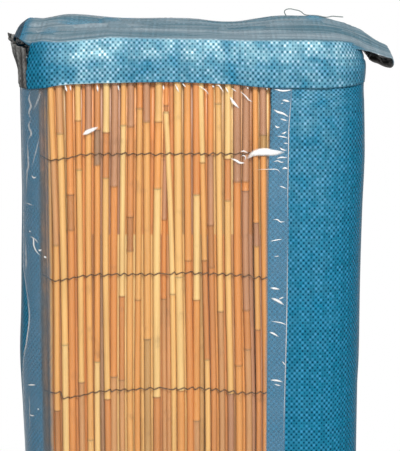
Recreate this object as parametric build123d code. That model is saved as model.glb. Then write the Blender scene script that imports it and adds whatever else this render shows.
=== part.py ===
"""Reed screening mat, rolled up and packed upright in a woven bag with a clear front window.

Frame: +Z up, the origin at the centre of the base, the window on the -Y side.
The mat is one wall wound into a flattened roll. Its reeds stand upright.
"""

from build123d import *
import math
import os

# Driving dimensions, in millimetres

# Reed mat
REED_LENGTH = 1000.0
REED_DIAMETER = 5.6
REED_PITCH = 7.3
REED_SIDES = 12
ROLL_WIDTH = 285.0
ROLL_DEPTH = 151.0
ROLL_CORNER = 42.0
LAYER_PITCH = 8.0
INNER_BEND = 6.0
GROOVE_DEPTH = 1.6
BACKING = 0.2
GAP_WIDTH = 1.2
GAP_LAND = 10.0
GAP_ROWS = 4

# Binding wire
WIRE_ROWS = 9
WIRE_PITCH = 102.0
WIRE_DIAMETER = 1.1
WIRE_CLEARANCE = 0.1

# Woven bag
BAG_WALL = 0.5
BAG_CLEARANCE = 0.3
HEAD_ROOM = 2.0
WINDOW_WIDTH = 188.0
WINDOW_OFFSET = -30.0
WINDOW_BOTTOM = 70.0
WINDOW_TOP_COVER = 12.0

# Clear film over the window
FILM_THICKNESS = 0.3
FILM_CLEARANCE = 0.1
FILM_OVERLAP = 17.0

# Folded mouth of the bag
BAND_HEIGHT = 38.0
BAND_THICKNESS = 1.6
BAND_CLEARANCE = 0.2
BAND_WRAP = 30.0
FOLD_THICKNESS = 2.0
FOLD_DEPTHS = (56.0, 44.0)
FOLD_RISES = (3.0, 2.5, 5.0)
FRONT_ROUND = 4.0

# Right-hand ear: a flap of the mouth that droops past the side and turns under
EAR_REACH = 27.0
EAR_DROP = 16.0
EAR_ROOT_WIDTH = 112.0
EAR_TIP_WIDTH = 62.0
EAR_THICKNESS = 1.4
EAR_RETURN = 19.0
EAR_LOOP = 7.0
EAR_ROOT = 16.0

# Left-hand ear: a pleat folded down against the side
PLEAT_REACH = 13.0
PLEAT_HEIGHT = 46.0
PLEAT_WIDTH = 92.0
PLEAT_WALL = 1.2

# Sewing thread that closes the mouth
THREAD_DIAMETER = 0.9
SEAM_MARGIN = 14.0
SEAM_END_GAP = 0.5
SEAT_CLEARANCE = 0.1

# Loose end of the thread: its route from the seam, as x, y, z
TAIL_ROUTE = (
    (84.0, 49.9, 1010.8),
    (86.4, 49.7, 1012.0),
    (88.2, 49.3, 1014.8),
    (91.0, 48.9, 1017.0),
    (94.8, 48.7, 1017.4),
    (98.2, 48.9, 1015.8),
    (100.6, 49.3, 1013.0),
    (103.8, 50.1, 1011.2),
    (108.4, 50.9, 1010.8),
    (113.6, 50.5, 1011.0),
    (119.2, 49.3, 1010.8),
    (125.2, 49.1, 1011.0),
    (131.2, 50.3, 1010.8),
    (136.6, 50.7, 1010.9),
)
TAIL_SIDES = 6
ARC_SHARE = 0.45

# Derived levels and half sizes
REED_RADIUS = REED_DIAMETER / 2
MAT_BOTTOM = BAG_WALL
MAT_TOP = MAT_BOTTOM + REED_LENGTH
BAG_TOP = MAT_TOP + HEAD_ROOM + BAG_WALL
FOLD_TOP = BAG_TOP + FOLD_THICKNESS
MIDDLE_X = ROLL_WIDTH / 2 - REED_RADIUS
MIDDLE_Y = ROLL_DEPTH / 2 - REED_RADIUS
MIDDLE_BEND = ROLL_CORNER - REED_RADIUS
TURNS = int((MIDDLE_Y - INNER_BEND) // LAYER_PITCH)
BAG_INSIDE = WIRE_CLEARANCE + WIRE_DIAMETER + BAG_CLEARANCE
BAG_OUTSIDE = BAG_INSIDE + BAG_WALL
FILM_INSIDE = BAG_OUTSIDE + FILM_CLEARANCE
FILM_OUTSIDE = FILM_INSIDE + FILM_THICKNESS
BAND_INSIDE = FILM_OUTSIDE + BAND_CLEARANCE
BAND_OUTSIDE = BAND_INSIDE + BAND_THICKNESS
BAG_X = ROLL_WIDTH / 2 + BAG_OUTSIDE
BAG_Y = ROLL_DEPTH / 2 + BAG_OUTSIDE
BAND_BOTTOM = FOLD_TOP - BAND_HEIGHT
WINDOW_TOP = BAND_BOTTOM + WINDOW_TOP_COVER
OVERSIZE = 2 * max(ROLL_WIDTH, ROLL_DEPTH, REED_LENGTH)


def outline(distance):
    """Rounded rectangle at a distance outside the roll's reeds."""
    return RectangleRounded(
        ROLL_WIDTH + 2 * distance, ROLL_DEPTH + 2 * distance, ROLL_CORNER + distance
    )


def upright(face, bottom, top):
    """A flat face pulled up between two levels."""
    return extrude(Pos(0, 0, bottom) * face, amount=top - bottom)


def block(x_range, y_range, z_range):
    """A box between pairs of limits."""
    size = [high - low for low, high in (x_range, y_range, z_range)]
    middle = [(high + low) / 2 for low, high in (x_range, y_range, z_range)]
    return Pos(*middle) * Box(*size)


# Reed mat


def winding(first_shift, later_shift):
    """Edge of the mat's wall: the roll's middle line moved outwards by a shift for each turn."""
    def shift(turn):
        return first_shift if turn == 0 else later_shift

    def half_width(turn):
        return MIDDLE_X - turn * LAYER_PITCH + shift(turn)

    def half_depth(turn):
        return MIDDLE_Y - turn * LAYER_PITCH + shift(turn)

    points = [(MIDDLE_BEND - MIDDLE_X, half_depth(0))]
    radii = []
    for turn in range(TURNS):
        bend = max(MIDDLE_BEND - turn * LAYER_PITCH, INNER_BEND) + shift(turn)
        points += [
            (half_width(turn), half_depth(turn)),
            (half_width(turn), -half_depth(turn)),
            (-half_width(turn), -half_depth(turn)),
            (-half_width(turn), half_depth(turn + 1)),
        ]
        radii += [bend] * 4
    points.append((0, half_depth(TURNS)))
    return FilletPolyline(*points, radius=radii)


def mat_wall():
    """Section of the rolled wall, thinner by the grooves on its outer turn."""
    outer = winding(REED_RADIUS - GROOVE_DEPTH, REED_RADIUS)
    inner = winding(-REED_RADIUS - BACKING, -REED_RADIUS)
    ends = [Line(outer @ 0, inner @ 0), Line(outer @ 1, inner @ 1)]
    return make_face(outer.edges() + inner.edges() + [end.edge() for end in ends])


def reed_places():
    """Each outer reed's centre and outward direction, from the mat's free edge to the left side."""
    path = FilletPolyline(
        (MIDDLE_BEND - MIDDLE_X, MIDDLE_Y),
        (MIDDLE_X, MIDDLE_Y),
        (MIDDLE_X, -MIDDLE_Y),
        (-MIDDLE_X, -MIDDLE_Y),
        (-MIDDLE_X, MIDDLE_Y - MIDDLE_BEND - LAYER_PITCH),
        radius=[MIDDLE_BEND] * 3,
    ).wire()
    places = []
    for index in range(int(path.length // REED_PITCH)):
        along = (index + 0.5) * REED_PITCH / path.length
        centre = path.position_at(along)
        tangent = path.tangent_at(along)
        places.append((centre, Vector(-tangent.Y, tangent.X)))
    return places


def reed_section(centre, out):
    """A reed cut across, with an edge of its facets at the crest."""
    facing = math.degrees(math.atan2(out.Y, out.X))
    return Pos(centre) * RegularPolygon(REED_RADIUS, REED_SIDES, rotation=facing)


def wire_levels():
    """Heights of the binding rows, centred on the reeds."""
    lowest = MAT_BOTTOM + (REED_LENGTH - (WIRE_ROWS - 1) * WIRE_PITCH) / 2
    return [lowest + row * WIRE_PITCH for row in range(WIRE_ROWS)]


def front_gaps(places):
    """Slits between the reeds of the flat front run, each as long as a few rows of wire."""
    run = MIDDLE_X - MIDDLE_BEND
    front = [centre.X for centre, out in places if out.Y < -0.999 and abs(centre.X) < run]
    lands = wire_levels()[::GAP_ROWS]
    slits = []
    for left, right in zip(sorted(front), sorted(front)[1:]):
        middle = (left + right) / 2
        for low, high in zip(lands, lands[1:]):
            slits.append(
                block(
                    (middle - GAP_WIDTH / 2, middle + GAP_WIDTH / 2),
                    (-MIDDLE_Y - REED_DIAMETER, -MIDDLE_Y + REED_RADIUS + 2 * BACKING),
                    (low + GAP_LAND / 2, high - GAP_LAND / 2),
                )
            )
    return slits


def make_reed_mat():
    """The rolled mat: one wall with reed ridges outside and slits between the front reeds."""
    places = reed_places()
    ridges = [reed_section(centre, out) for centre, out in places]
    section = Sketch() + [mat_wall()] + ridges
    roll = upright(section, MAT_BOTTOM, MAT_TOP)
    return roll - front_gaps(places)


# Binding wire


def wire_section():
    """A wire's plan: pulled straight from crest to crest of the outer reeds."""
    places = reed_places()
    corners = []
    for before, here, after in zip([None] + places, places, places[1:] + [None]):
        bends = not before or not after or before[1].get_angle(after[1]) > 0.01
        if bends:
            corners.append(here)
    near = REED_RADIUS + WIRE_CLEARANCE
    inner = [centre + out * near for centre, out in corners]
    outer = [centre + out * (near + WIRE_DIAMETER) for centre, out in corners]
    return make_face(Polyline(*inner, *reversed(outer), close=True))


def make_tie_wires():
    """One wire for each binding row, numbered from the top."""
    plan = wire_section()
    wires = []
    for level in reversed(wire_levels()):
        wires.append(upright(plan, level - WIRE_DIAMETER / 2, level + WIRE_DIAMETER / 2))
    return wires


# Woven bag


def window_limits():
    """Left and right edges of the window."""
    return (WINDOW_OFFSET - WINDOW_WIDTH / 2, WINDOW_OFFSET + WINDOW_WIDTH / 2)


def bag_body():
    """Fabric tube with a flat base and top, and the window cut through its front."""
    outside = upright(outline(BAG_OUTSIDE), 0, BAG_TOP)
    inside = upright(outline(BAG_INSIDE), BAG_WALL, BAG_TOP - BAG_WALL)
    window = block(window_limits(), (-OVERSIZE, -ROLL_DEPTH / 4), (WINDOW_BOTTOM, WINDOW_TOP))
    return outside - inside - window


def fold_profile():
    """Section of the folded mouth across the bag: rounded front edge, then pleats side by side."""
    front = -ROLL_DEPTH / 2 - BAND_OUTSIDE
    back = BAG_Y
    creases = [front + FRONT_ROUND]
    for depth in FOLD_DEPTHS:
        creases.append(creases[-1] + depth)
    creases.append(back)
    edges = [RadiusArc((front, FOLD_TOP - FRONT_ROUND), (creases[0], FOLD_TOP), FRONT_ROUND)]
    for start, end, rise in zip(creases, creases[1:], FOLD_RISES):
        edges.append(SagittaArc((start, FOLD_TOP), (end, FOLD_TOP), rise))
    edges.append(
        Polyline(
            (back, FOLD_TOP),
            (back, BAND_BOTTOM),
            (front, BAND_BOTTOM),
            (front, FOLD_TOP - FRONT_ROUND),
        )
    )
    return make_face([edge for part in edges for edge in part.edges()])


def mouth_fold():
    """The folded layers on top, and the band that hangs down over the front."""
    pleats = extrude(Plane.YZ * fold_profile(), amount=BAG_X + BAND_OUTSIDE, both=True)
    layers = pleats & upright(outline(BAND_OUTSIDE), BAND_BOTTOM, OVERSIZE)
    layers -= upright(outline(BAND_INSIDE), 0, BAG_TOP)
    behind = block((-OVERSIZE, OVERSIZE), (BAND_WRAP - BAG_Y, OVERSIZE), (0, OVERSIZE))
    return layers - (behind - upright(outline(BAG_OUTSIDE), BAG_TOP, OVERSIZE))


def right_ear():
    """Flap that leaves the mouth to the right, droops, and turns back under itself."""
    root = FOLD_TOP - EAR_THICKNESS / 2
    tip = BAG_X + EAR_REACH - EAR_LOOP / 2
    drop = root - EAR_DROP
    slope = math.atan2(EAR_DROP, EAR_REACH)
    back_x = tip - EAR_RETURN * math.cos(slope)
    back_z = drop - EAR_LOOP + EAR_RETURN * math.sin(slope) / 2
    path = FilletPolyline(
        (BAG_X - EAR_ROOT, root),
        (BAG_X - EAR_THICKNESS, root),
        (tip + EAR_LOOP / 2, drop),
        (tip + EAR_LOOP / 4, drop - EAR_LOOP),
        (back_x, back_z),
        radius=[EAR_REACH / 2, EAR_LOOP * 0.4, EAR_LOOP * 0.4],
    )
    strip = trace(path, EAR_THICKNESS)
    flap = extrude(Plane.XZ * strip, amount=EAR_ROOT_WIDTH / 2, both=True)
    plan = make_face(
        Polyline(
            (BAG_X - EAR_ROOT, -EAR_ROOT_WIDTH / 2),
            (BAG_X, -EAR_ROOT_WIDTH / 2),
            (BAG_X + EAR_REACH + EAR_LOOP, -EAR_TIP_WIDTH / 2),
            (BAG_X + EAR_REACH + EAR_LOOP, EAR_TIP_WIDTH / 2),
            (BAG_X, EAR_ROOT_WIDTH / 2),
            (BAG_X - EAR_ROOT, EAR_ROOT_WIDTH / 2),
            close=True,
        )
    )
    return flap & upright(plan, 0, OVERSIZE)


def left_ear():
    """Pleat that stands out at the top of the left side and closes against it lower down."""
    def pleat(reach, width, level):
        return Pos(-BAG_X, 0, level) * make_face(
            Polyline((BAG_WALL / 2, -width / 2), (-reach, 0), (BAG_WALL / 2, width / 2), close=True)
        )

    top = BAG_TOP
    bottom = top - PLEAT_HEIGHT
    outside = loft([pleat(PLEAT_WALL, PLEAT_WIDTH / 3, bottom), pleat(PLEAT_REACH, PLEAT_WIDTH, top)])
    pocket = loft(
        [
            pleat(PLEAT_WALL / 2, PLEAT_WIDTH / 4, bottom + 2 * PLEAT_WALL),
            pleat(PLEAT_REACH - 2 * PLEAT_WALL, PLEAT_WIDTH - 12 * PLEAT_WALL, top),
        ]
    )
    return outside - (pocket - upright(outline(BAG_OUTSIDE), 0, OVERSIZE))


def make_woven_bag():
    """The bag as one folded piece of fabric."""
    hollow = upright(outline(BAG_INSIDE), BAG_WALL, BAG_TOP - BAG_WALL)
    ears = (right_ear() + left_ear()) - hollow
    return bag_body() + mouth_fold() + ears


# Clear film


def make_window_film():
    """Film over the window and some way past its edges, its top end under the band."""
    left, right = window_limits()
    sheet = upright(outline(FILM_OUTSIDE), WINDOW_BOTTOM - FILM_OVERLAP, WINDOW_TOP)
    sheet -= upright(outline(FILM_INSIDE), 0, OVERSIZE)
    keep = block((left - FILM_OVERLAP, right + FILM_OVERLAP), (-OVERSIZE, -ROLL_DEPTH / 4), (0, OVERSIZE))
    return sheet & keep


# Sewing thread


def make_closing_thread():
    """Sewn row along the crest of the back pleat, up to where its end has worked loose."""
    crease = FRONT_ROUND + sum(FOLD_DEPTHS) - ROLL_DEPTH / 2 - BAND_OUTSIDE
    crest = (crease + BAG_Y) / 2
    level = FOLD_TOP + FOLD_RISES[-1] + SEAT_CLEARANCE
    return block(
        (SEAM_MARGIN - BAG_X, TAIL_ROUTE[0][0] - SEAM_END_GAP),
        (crest - THREAD_DIAMETER / 2, crest + THREAD_DIAMETER / 2),
        (level, level + THREAD_DIAMETER),
    )


def tail_radii():
    """Arc at each inner point of the route, as large as its two runs allow."""
    points = [Vector(*point) for point in TAIL_ROUTE]
    radii = []
    for before, here, after in zip(points, points[1:], points[2:]):
        run = min((here - before).length, (after - here).length)
        turn = math.radians((here - before).get_angle(after - here))
        radii.append(ARC_SHARE * run / math.tan(turn / 2))
    return radii


def make_thread_tail():
    """Loose end: up from the seam in a loop, then along the fold."""
    radii = tail_radii()
    print("thread tail radii", [round(radius, 2) for radius in radii])
    path = FilletPolyline(*TAIL_ROUTE, radius=radii)
    start = Plane(path @ 0, z_dir=path % 0)
    tail = sweep(start * RegularPolygon(THREAD_DIAMETER / 2, TAIL_SIDES), path=path)
    section = RegularPolygon(THREAD_DIAMETER / 2, TAIL_SIDES).area
    print("thread tail length", round(path.length, 2), "volume ratio", round(tail.volume / section / path.length, 4))
    return tail


# Write every sub-part

os.makedirs("parts", exist_ok=True)
nodes = {
    "reed_mat": make_reed_mat(),
    "woven_bag": make_woven_bag(),
    "window_film": make_window_film(),
    "closing_thread": make_closing_thread(),
    "thread_tail": make_thread_tail(),
}
for number, wire in enumerate(make_tie_wires(), start=1):
    nodes[f"tie_wire_{number}"] = wire
for name, shape in nodes.items():
    export_step(shape, f"parts/{name}.step")
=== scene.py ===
# %% [markdown]
# The object is a garden screen of thin reeds, bound with wire and rolled up on end.
# It is sold in a blue bag woven from plastic tape, with a clear film window down its front.
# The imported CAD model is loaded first, and every piece below is modelled round it, in metres.

# %% Load the frame
import bmesh
import bpy
import math
import random
from mathutils import Matrix, Vector, noise


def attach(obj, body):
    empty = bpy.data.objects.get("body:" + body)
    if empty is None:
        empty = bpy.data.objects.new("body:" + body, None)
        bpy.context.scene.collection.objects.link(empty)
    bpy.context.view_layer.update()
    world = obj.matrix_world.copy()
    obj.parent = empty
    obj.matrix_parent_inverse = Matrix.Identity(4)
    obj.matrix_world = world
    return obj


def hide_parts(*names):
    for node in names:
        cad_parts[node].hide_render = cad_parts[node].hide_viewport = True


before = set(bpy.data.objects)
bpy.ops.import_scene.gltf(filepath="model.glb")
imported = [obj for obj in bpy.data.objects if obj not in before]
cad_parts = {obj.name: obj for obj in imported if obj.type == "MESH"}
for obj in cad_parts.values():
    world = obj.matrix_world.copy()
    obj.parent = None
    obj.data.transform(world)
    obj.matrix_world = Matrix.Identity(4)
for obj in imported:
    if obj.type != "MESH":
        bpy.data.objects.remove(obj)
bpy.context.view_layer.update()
MM = 0.001
scene = bpy.context.scene
scene.view_settings.view_transform = "Standard"

# %% [markdown]
# The camera stands a little above the bag and looks slightly down at its front.
# A long lens keeps the upright edges nearly parallel, as they are in the picture.

# %% Camera
CAMERA_PLACE = (0.0073, -1.600, 1.1793)
CAMERA_TILT = math.radians(77.77)
lens = bpy.data.cameras.new("front_camera")
lens.sensor_fit = "VERTICAL"
lens.sensor_height = 36.0
lens.lens = 150.0
camera = bpy.data.objects.new("front_camera", lens)
camera.location = CAMERA_PLACE
camera.rotation_euler = (CAMERA_TILT, 0, 0)
scene.collection.objects.link(camera)
scene.camera = camera
print("camera at", CAMERA_PLACE)

# %% [markdown]
# The mouth of the bag is sewn shut, and the end of the sewing thread has worked loose.
# It springs up in a small loop and then lies along the fold.
# A NURBS curve with a round bevel makes a smooth thread from a few points.

# %% Loose end of the thread
THREAD_DIAMETER = 0.9 * MM
TAIL_ROUTE = [
    (83.0, 50.2, 1009.8),
    (80.7, 50.0, 1012.9),
    (82.4, 49.8, 1015.6),
    (86.7, 49.6, 1016.2),
    (90.4, 49.5, 1015.2),
    (93.6, 49.4, 1014.7),
    (96.4, 49.4, 1013.3),
    (98.8, 49.3, 1010.9),
    (102.4, 48.4, 1010.5),
    (107.0, 48.0, 1010.5),
    (111.6, 48.4, 1010.0),
    (115.6, 49.2, 1008.9),
    (119.3, 49.6, 1008.6),
    (123.0, 50.0, 1009.7),
    (127.6, 50.2, 1009.2),
    (132.9, 50.4, 1008.8),
]


def thread_curve(name, points, diameter):
    """A round thread along a smooth line that follows a few points in millimetres."""
    curve = bpy.data.curves.new(name, "CURVE")
    curve.dimensions = "3D"
    spline = curve.splines.new("NURBS")
    spline.points.add(len(points) - 1)
    for point, place in zip(spline.points, points):
        point.co = (*(value * MM for value in place), 1)
        point.radius = diameter / 2
    spline.order_u = 3
    spline.use_endpoint_u = True
    curve.bevel_depth = 1.0
    curve.bevel_resolution = 2
    curve.use_fill_caps = True
    return curve


tail = bpy.data.objects.new("loose_thread", thread_curve("loose_thread", TAIL_ROUTE, THREAD_DIAMETER))
scene.collection.objects.link(tail)
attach(tail, "root")
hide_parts("thread_tail")
print("loose thread with", len(TAIL_ROUTE), "points")

# %% [markdown]
# The light is that of a plain studio: one soft lamp high at the front, a weaker one below it,
# one overhead and one behind. Each is a square area lamp, because a large soft source gives
# the woven cloth a gentle sheen, where a point lamp would leave a hard bright spot on it.

# %% Lamps
AIM = Vector((0, 0, 0.85))


def softbox(name, place, size, watts):
    """A square lamp that faces the upper half of the bag."""
    lamp = bpy.data.lights.new(name, "AREA")
    lamp.size = size
    lamp.energy = watts
    holder = bpy.data.objects.new(name, lamp)
    holder.location = place
    holder.rotation_euler = (AIM - Vector(place)).to_track_quat("-Z", "Y").to_euler()
    scene.collection.objects.link(holder)
    return holder


softbox("key_lamp", (0.2, -1.77, 1.95), 0.4, 35)
softbox("fill_lamp", (0.15, -2.4, 1.25), 0.8, 15)
softbox("top_lamp", (0.1, 0.2, 2.4), 0.8, 8)
softbox("back_lamp", (0.1, 2.0, 0.9), 0.8, 14)
print("four lamps")

# %% [markdown]
# The background is plain white. A bright wall would throw more light on the bag, so the white
# comes from the world: Light Path tells which rays come from the camera, from a gloss or
# through the film, and only those meet white. All others get a dimmer light.

# %% World
AMBIENT = 0.24
world = bpy.data.worlds.new("studio")
scene.world = world
world.use_nodes = True
sky = world.node_tree
rays = sky.nodes.new("ShaderNodeLightPath")
seen = sky.nodes.new("ShaderNodeMath")
seen.operation = "MAXIMUM"
clear = sky.nodes.new("ShaderNodeMath")
clear.operation = "MAXIMUM"
level = sky.nodes.new("ShaderNodeMapRange")
level.inputs["To Min"].default_value = AMBIENT
level.inputs["To Max"].default_value = 1.0
sky.links.new(rays.outputs["Is Camera Ray"], seen.inputs[0])
sky.links.new(rays.outputs["Is Glossy Ray"], seen.inputs[1])
sky.links.new(seen.outputs[0], clear.inputs[0])
sky.links.new(rays.outputs["Is Transmission Ray"], clear.inputs[1])
sky.links.new(clear.outputs[0], level.inputs["Value"])
sky.links.new(level.outputs[0], sky.nodes["Background"].inputs["Strength"])
sky.nodes["Background"].inputs["Color"].default_value = (1, 1, 1, 1)
print("world light", AMBIENT)

# %% [markdown]
# The bag stands on a pale floor that takes its shadow.

# %% Floor
FLOOR_RADIUS = 1.3
floor_mesh = bmesh.new()
bmesh.ops.create_circle(floor_mesh, cap_ends=True, segments=96, radius=FLOOR_RADIUS)
floor_data = bpy.data.meshes.new("floor")
floor_mesh.to_mesh(floor_data)
floor_mesh.free()
floor = bpy.data.objects.new("floor", floor_data)
scene.collection.objects.link(floor)
floor_paint = bpy.data.materials.new("floor_paint")
floor_paint.use_nodes = True
floor_shader = floor_paint.node_tree.nodes["Principled BSDF"]
floor_shader.inputs["Base Color"].default_value = (0.86, 0.86, 0.86, 1)
floor_shader.inputs["Roughness"].default_value = 0.8
floor_data.materials.append(floor_paint)
print("floor of radius", FLOOR_RADIUS, "m")

# %% [markdown]
# Nearly every finish here needs a chain of small calculations. Joined one link at a time they
# would fill pages, so a few helpers come first: one adds a node and joins or sets its inputs,
# one does a sum with a Math node, and one mixes two colours.

# %% Node helpers
def feed(tree, socket, value):
    """Joins a socket to another node's output, or sets it to a plain value."""
    if isinstance(value, bpy.types.NodeSocket):
        tree.links.new(value, socket)
    else:
        socket.default_value = value


def add_node(tree, kind, **inputs):
    """A node whose inputs are set to values or joined to other nodes' sockets."""
    node = tree.nodes.new(kind)
    for name, value in inputs.items():
        feed(tree, node.inputs[name.replace("_", " ")], value)
    return node


def sums(tree, operation, *values):
    """The result of one Math node."""
    node = tree.nodes.new("ShaderNodeMath")
    node.operation = operation
    for socket, value in zip(node.inputs, values):
        feed(tree, socket, value)
    return node.outputs[0]


def mixed(tree, share, low, high):
    """A colour between two colours."""
    node = tree.nodes.new("ShaderNodeMix")
    node.data_type = "RGBA"
    for index, value in ((0, share), (6, low), (7, high)):
        feed(tree, node.inputs[index], value)
    return node.outputs[2]


def new_finish(name):
    """An empty material with its node tree and its Principled node."""
    finish = bpy.data.materials.new(name)
    finish.use_nodes = True
    return finish, finish.node_tree, finish.node_tree.nodes["Principled BSDF"]


print("node helpers ready")

# %% [markdown]
# The bag is a plain weave of flat tapes, one over and one under, each about 2 mm wide.
# From a step away it reads as a light ground with a small dark dot wherever a tape dips; the dots are
# painted shade in those dips.
# A pattern image could show that, but a node group can work it out at any scale:
# it finds the square it is in, which of the two tapes is on top there, and how that tape curves.
# It gives a tone for each tape, the dots, the beads that take the painted glints, a chance value for each
# square, and the slope as a colour.

# %% Weave group
TAPE_ALONG = 2.15 * MM
TAPE_UP = 2.45 * MM
WEAVE_OUTPUTS = {"Slope": "Color", "Tone": "Float", "Dot": "Float", "Bead": "Float", "Speck": "Float"}


def make_weave_group():
    """Shader group for a plain weave of flat tapes, with one unit to a tape."""
    group = bpy.data.node_groups.new("tape_weave", "ShaderNodeTree")
    group.interface.new_socket("Place", in_out="INPUT", socket_type="NodeSocketVector")
    group.interface.new_socket("Crown", in_out="INPUT", socket_type="NodeSocketFloat")
    for name, kind in WEAVE_OUTPUTS.items():
        group.interface.new_socket(name, in_out="OUTPUT", socket_type="NodeSocket" + kind)
    source = group.nodes.new("NodeGroupInput")
    result = group.nodes.new("NodeGroupOutput")
    axes = add_node(group, "ShaderNodeSeparateXYZ", Vector=source.outputs["Place"])
    parts = [sums(group, "FRACT", axes.outputs[i]) for i in (0, 1)]
    counts = [sums(group, "FLOOR", axes.outputs[i]) for i in (0, 1)]
    across = sums(group, "FLOORED_MODULO", sums(group, "ADD", *counts), 2.0)
    along = sums(group, "SUBTRACT", 1.0, across)
    tilts = []
    domes = []
    for part, lies_along in ((parts[0], across), (parts[1], along)):
        centred = sums(group, "MULTIPLY_ADD", part, 2.0, -1.0)
        crown = sums(group, "SINE", sums(group, "MULTIPLY", centred, math.pi / 2))
        crown = sums(group, "MULTIPLY", crown, lies_along)
        edge = sums(group, "POWER", centred, 5.0)
        edge = sums(group, "MULTIPLY", edge, sums(group, "SUBTRACT", 1.0, lies_along))
        tilt = sums(group, "MULTIPLY", sums(group, "ADD", crown, edge), source.outputs["Crown"])
        tilts.append(sums(group, "MULTIPLY_ADD", tilt, 0.5, 0.5))
        domes.append(sums(group, "SUBTRACT", 1.0, sums(group, "MULTIPLY", centred, centred)))
    slope = add_node(group, "ShaderNodeCombineColor", Red=tilts[0], Green=tilts[1], Blue=1.0)
    group.links.new(slope.outputs[0], result.inputs["Slope"])
    dome = sums(group, "POWER", sums(group, "MULTIPLY", *domes), 1.1)
    group.links.new(sums(group, "MULTIPLY", dome, across), result.inputs["Dot"])
    group.links.new(sums(group, "MULTIPLY", dome, along), result.inputs["Bead"])
    upright = sums(group, "MULTIPLY", counts[0], along)
    level = sums(group, "MULTIPLY", sums(group, "ADD", counts[1], 500.5), across)
    tape = group.nodes.new("ShaderNodeTexWhiteNoise")
    tape.noise_dimensions = "1D"
    group.links.new(sums(group, "ADD", upright, level), tape.inputs["W"])
    group.links.new(tape.outputs["Value"], result.inputs["Tone"])
    square = add_node(group, "ShaderNodeCombineXYZ", X=counts[0], Y=counts[1])
    chance = group.nodes.new("ShaderNodeTexWhiteNoise")
    chance.noise_dimensions = "2D"
    group.links.new(square.outputs[0], chance.inputs["Vector"])
    group.links.new(chance.outputs["Value"], result.inputs["Speck"])
    return group


weave_group = make_weave_group()
print("weave group with", len(weave_group.nodes), "nodes")

# %% [markdown]
# New cloth is a deep blue. It is paler for wear and for painted sheen from the lamps, darker for painted
# shade, and grey on the fold on top and round the front corners for a painted sheen of the white
# surroundings. A painted image could say where, but here each vertex carries how far that goes, as
# wear_and_painted_light, painted_top_sheen and painted_corner_sheen. One finish then serves the whole
# outside without a seam.

# %% Readings for the finishes
def reading(tree, name):
    """A value that the mesh carries on its vertices."""
    node = tree.nodes.new("ShaderNodeAttribute")
    node.attribute_name = name
    return node.outputs["Fac"]


def lit(tree, colour, value):
    """A colour made lighter or darker by a value."""
    node = tree.nodes.new("ShaderNodeVectorMath")
    node.operation = "SCALE"
    tree.links.new(colour, node.inputs[0])
    tree.links.new(value, node.inputs["Scale"])
    return node.outputs[0]


def stretched_noise(tree, coords, stretch, scale):
    """Soft noise on a UV map, pulled out along one of its axes."""
    pulled = add_node(tree, "ShaderNodeMapping", Vector=coords.outputs["UV"])
    pulled.inputs["Scale"].default_value = stretch
    soft = add_node(tree, "ShaderNodeTexNoise", Vector=pulled.outputs[0], Scale=scale, Detail=3.0)
    return soft.outputs["Fac"]


print("readings ready")

# %% [markdown]
# One function turns the weave into a finish. It starts from the plain tape, darkens the dips with painted
# shade, brightens the tapes that bulge with painted glints, and lays a streaky painted sheen over the
# fold on top and a smooth grey painted sheen round the front corners.
# The slope of the tapes tilts the surface's normal, so a lamp picks out single tapes.

# %% Woven finish
# Colours of the painted sheen on the fold on top: a painted reflection of the white surroundings at a
# grazing angle, streaky along its folds
TOP_SHEEN_DARK = (0.085, 0.17, 0.215, 1)
TOP_SHEEN_PALE = (0.26, 0.325, 0.365, 1)
# Grey of the painted sheen round the front corners, a painted reflection of the white surroundings
CORNER_SHEEN_GREY = (0.13, 0.18, 0.215, 1)
TAPE_CROWN = 0.22


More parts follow.
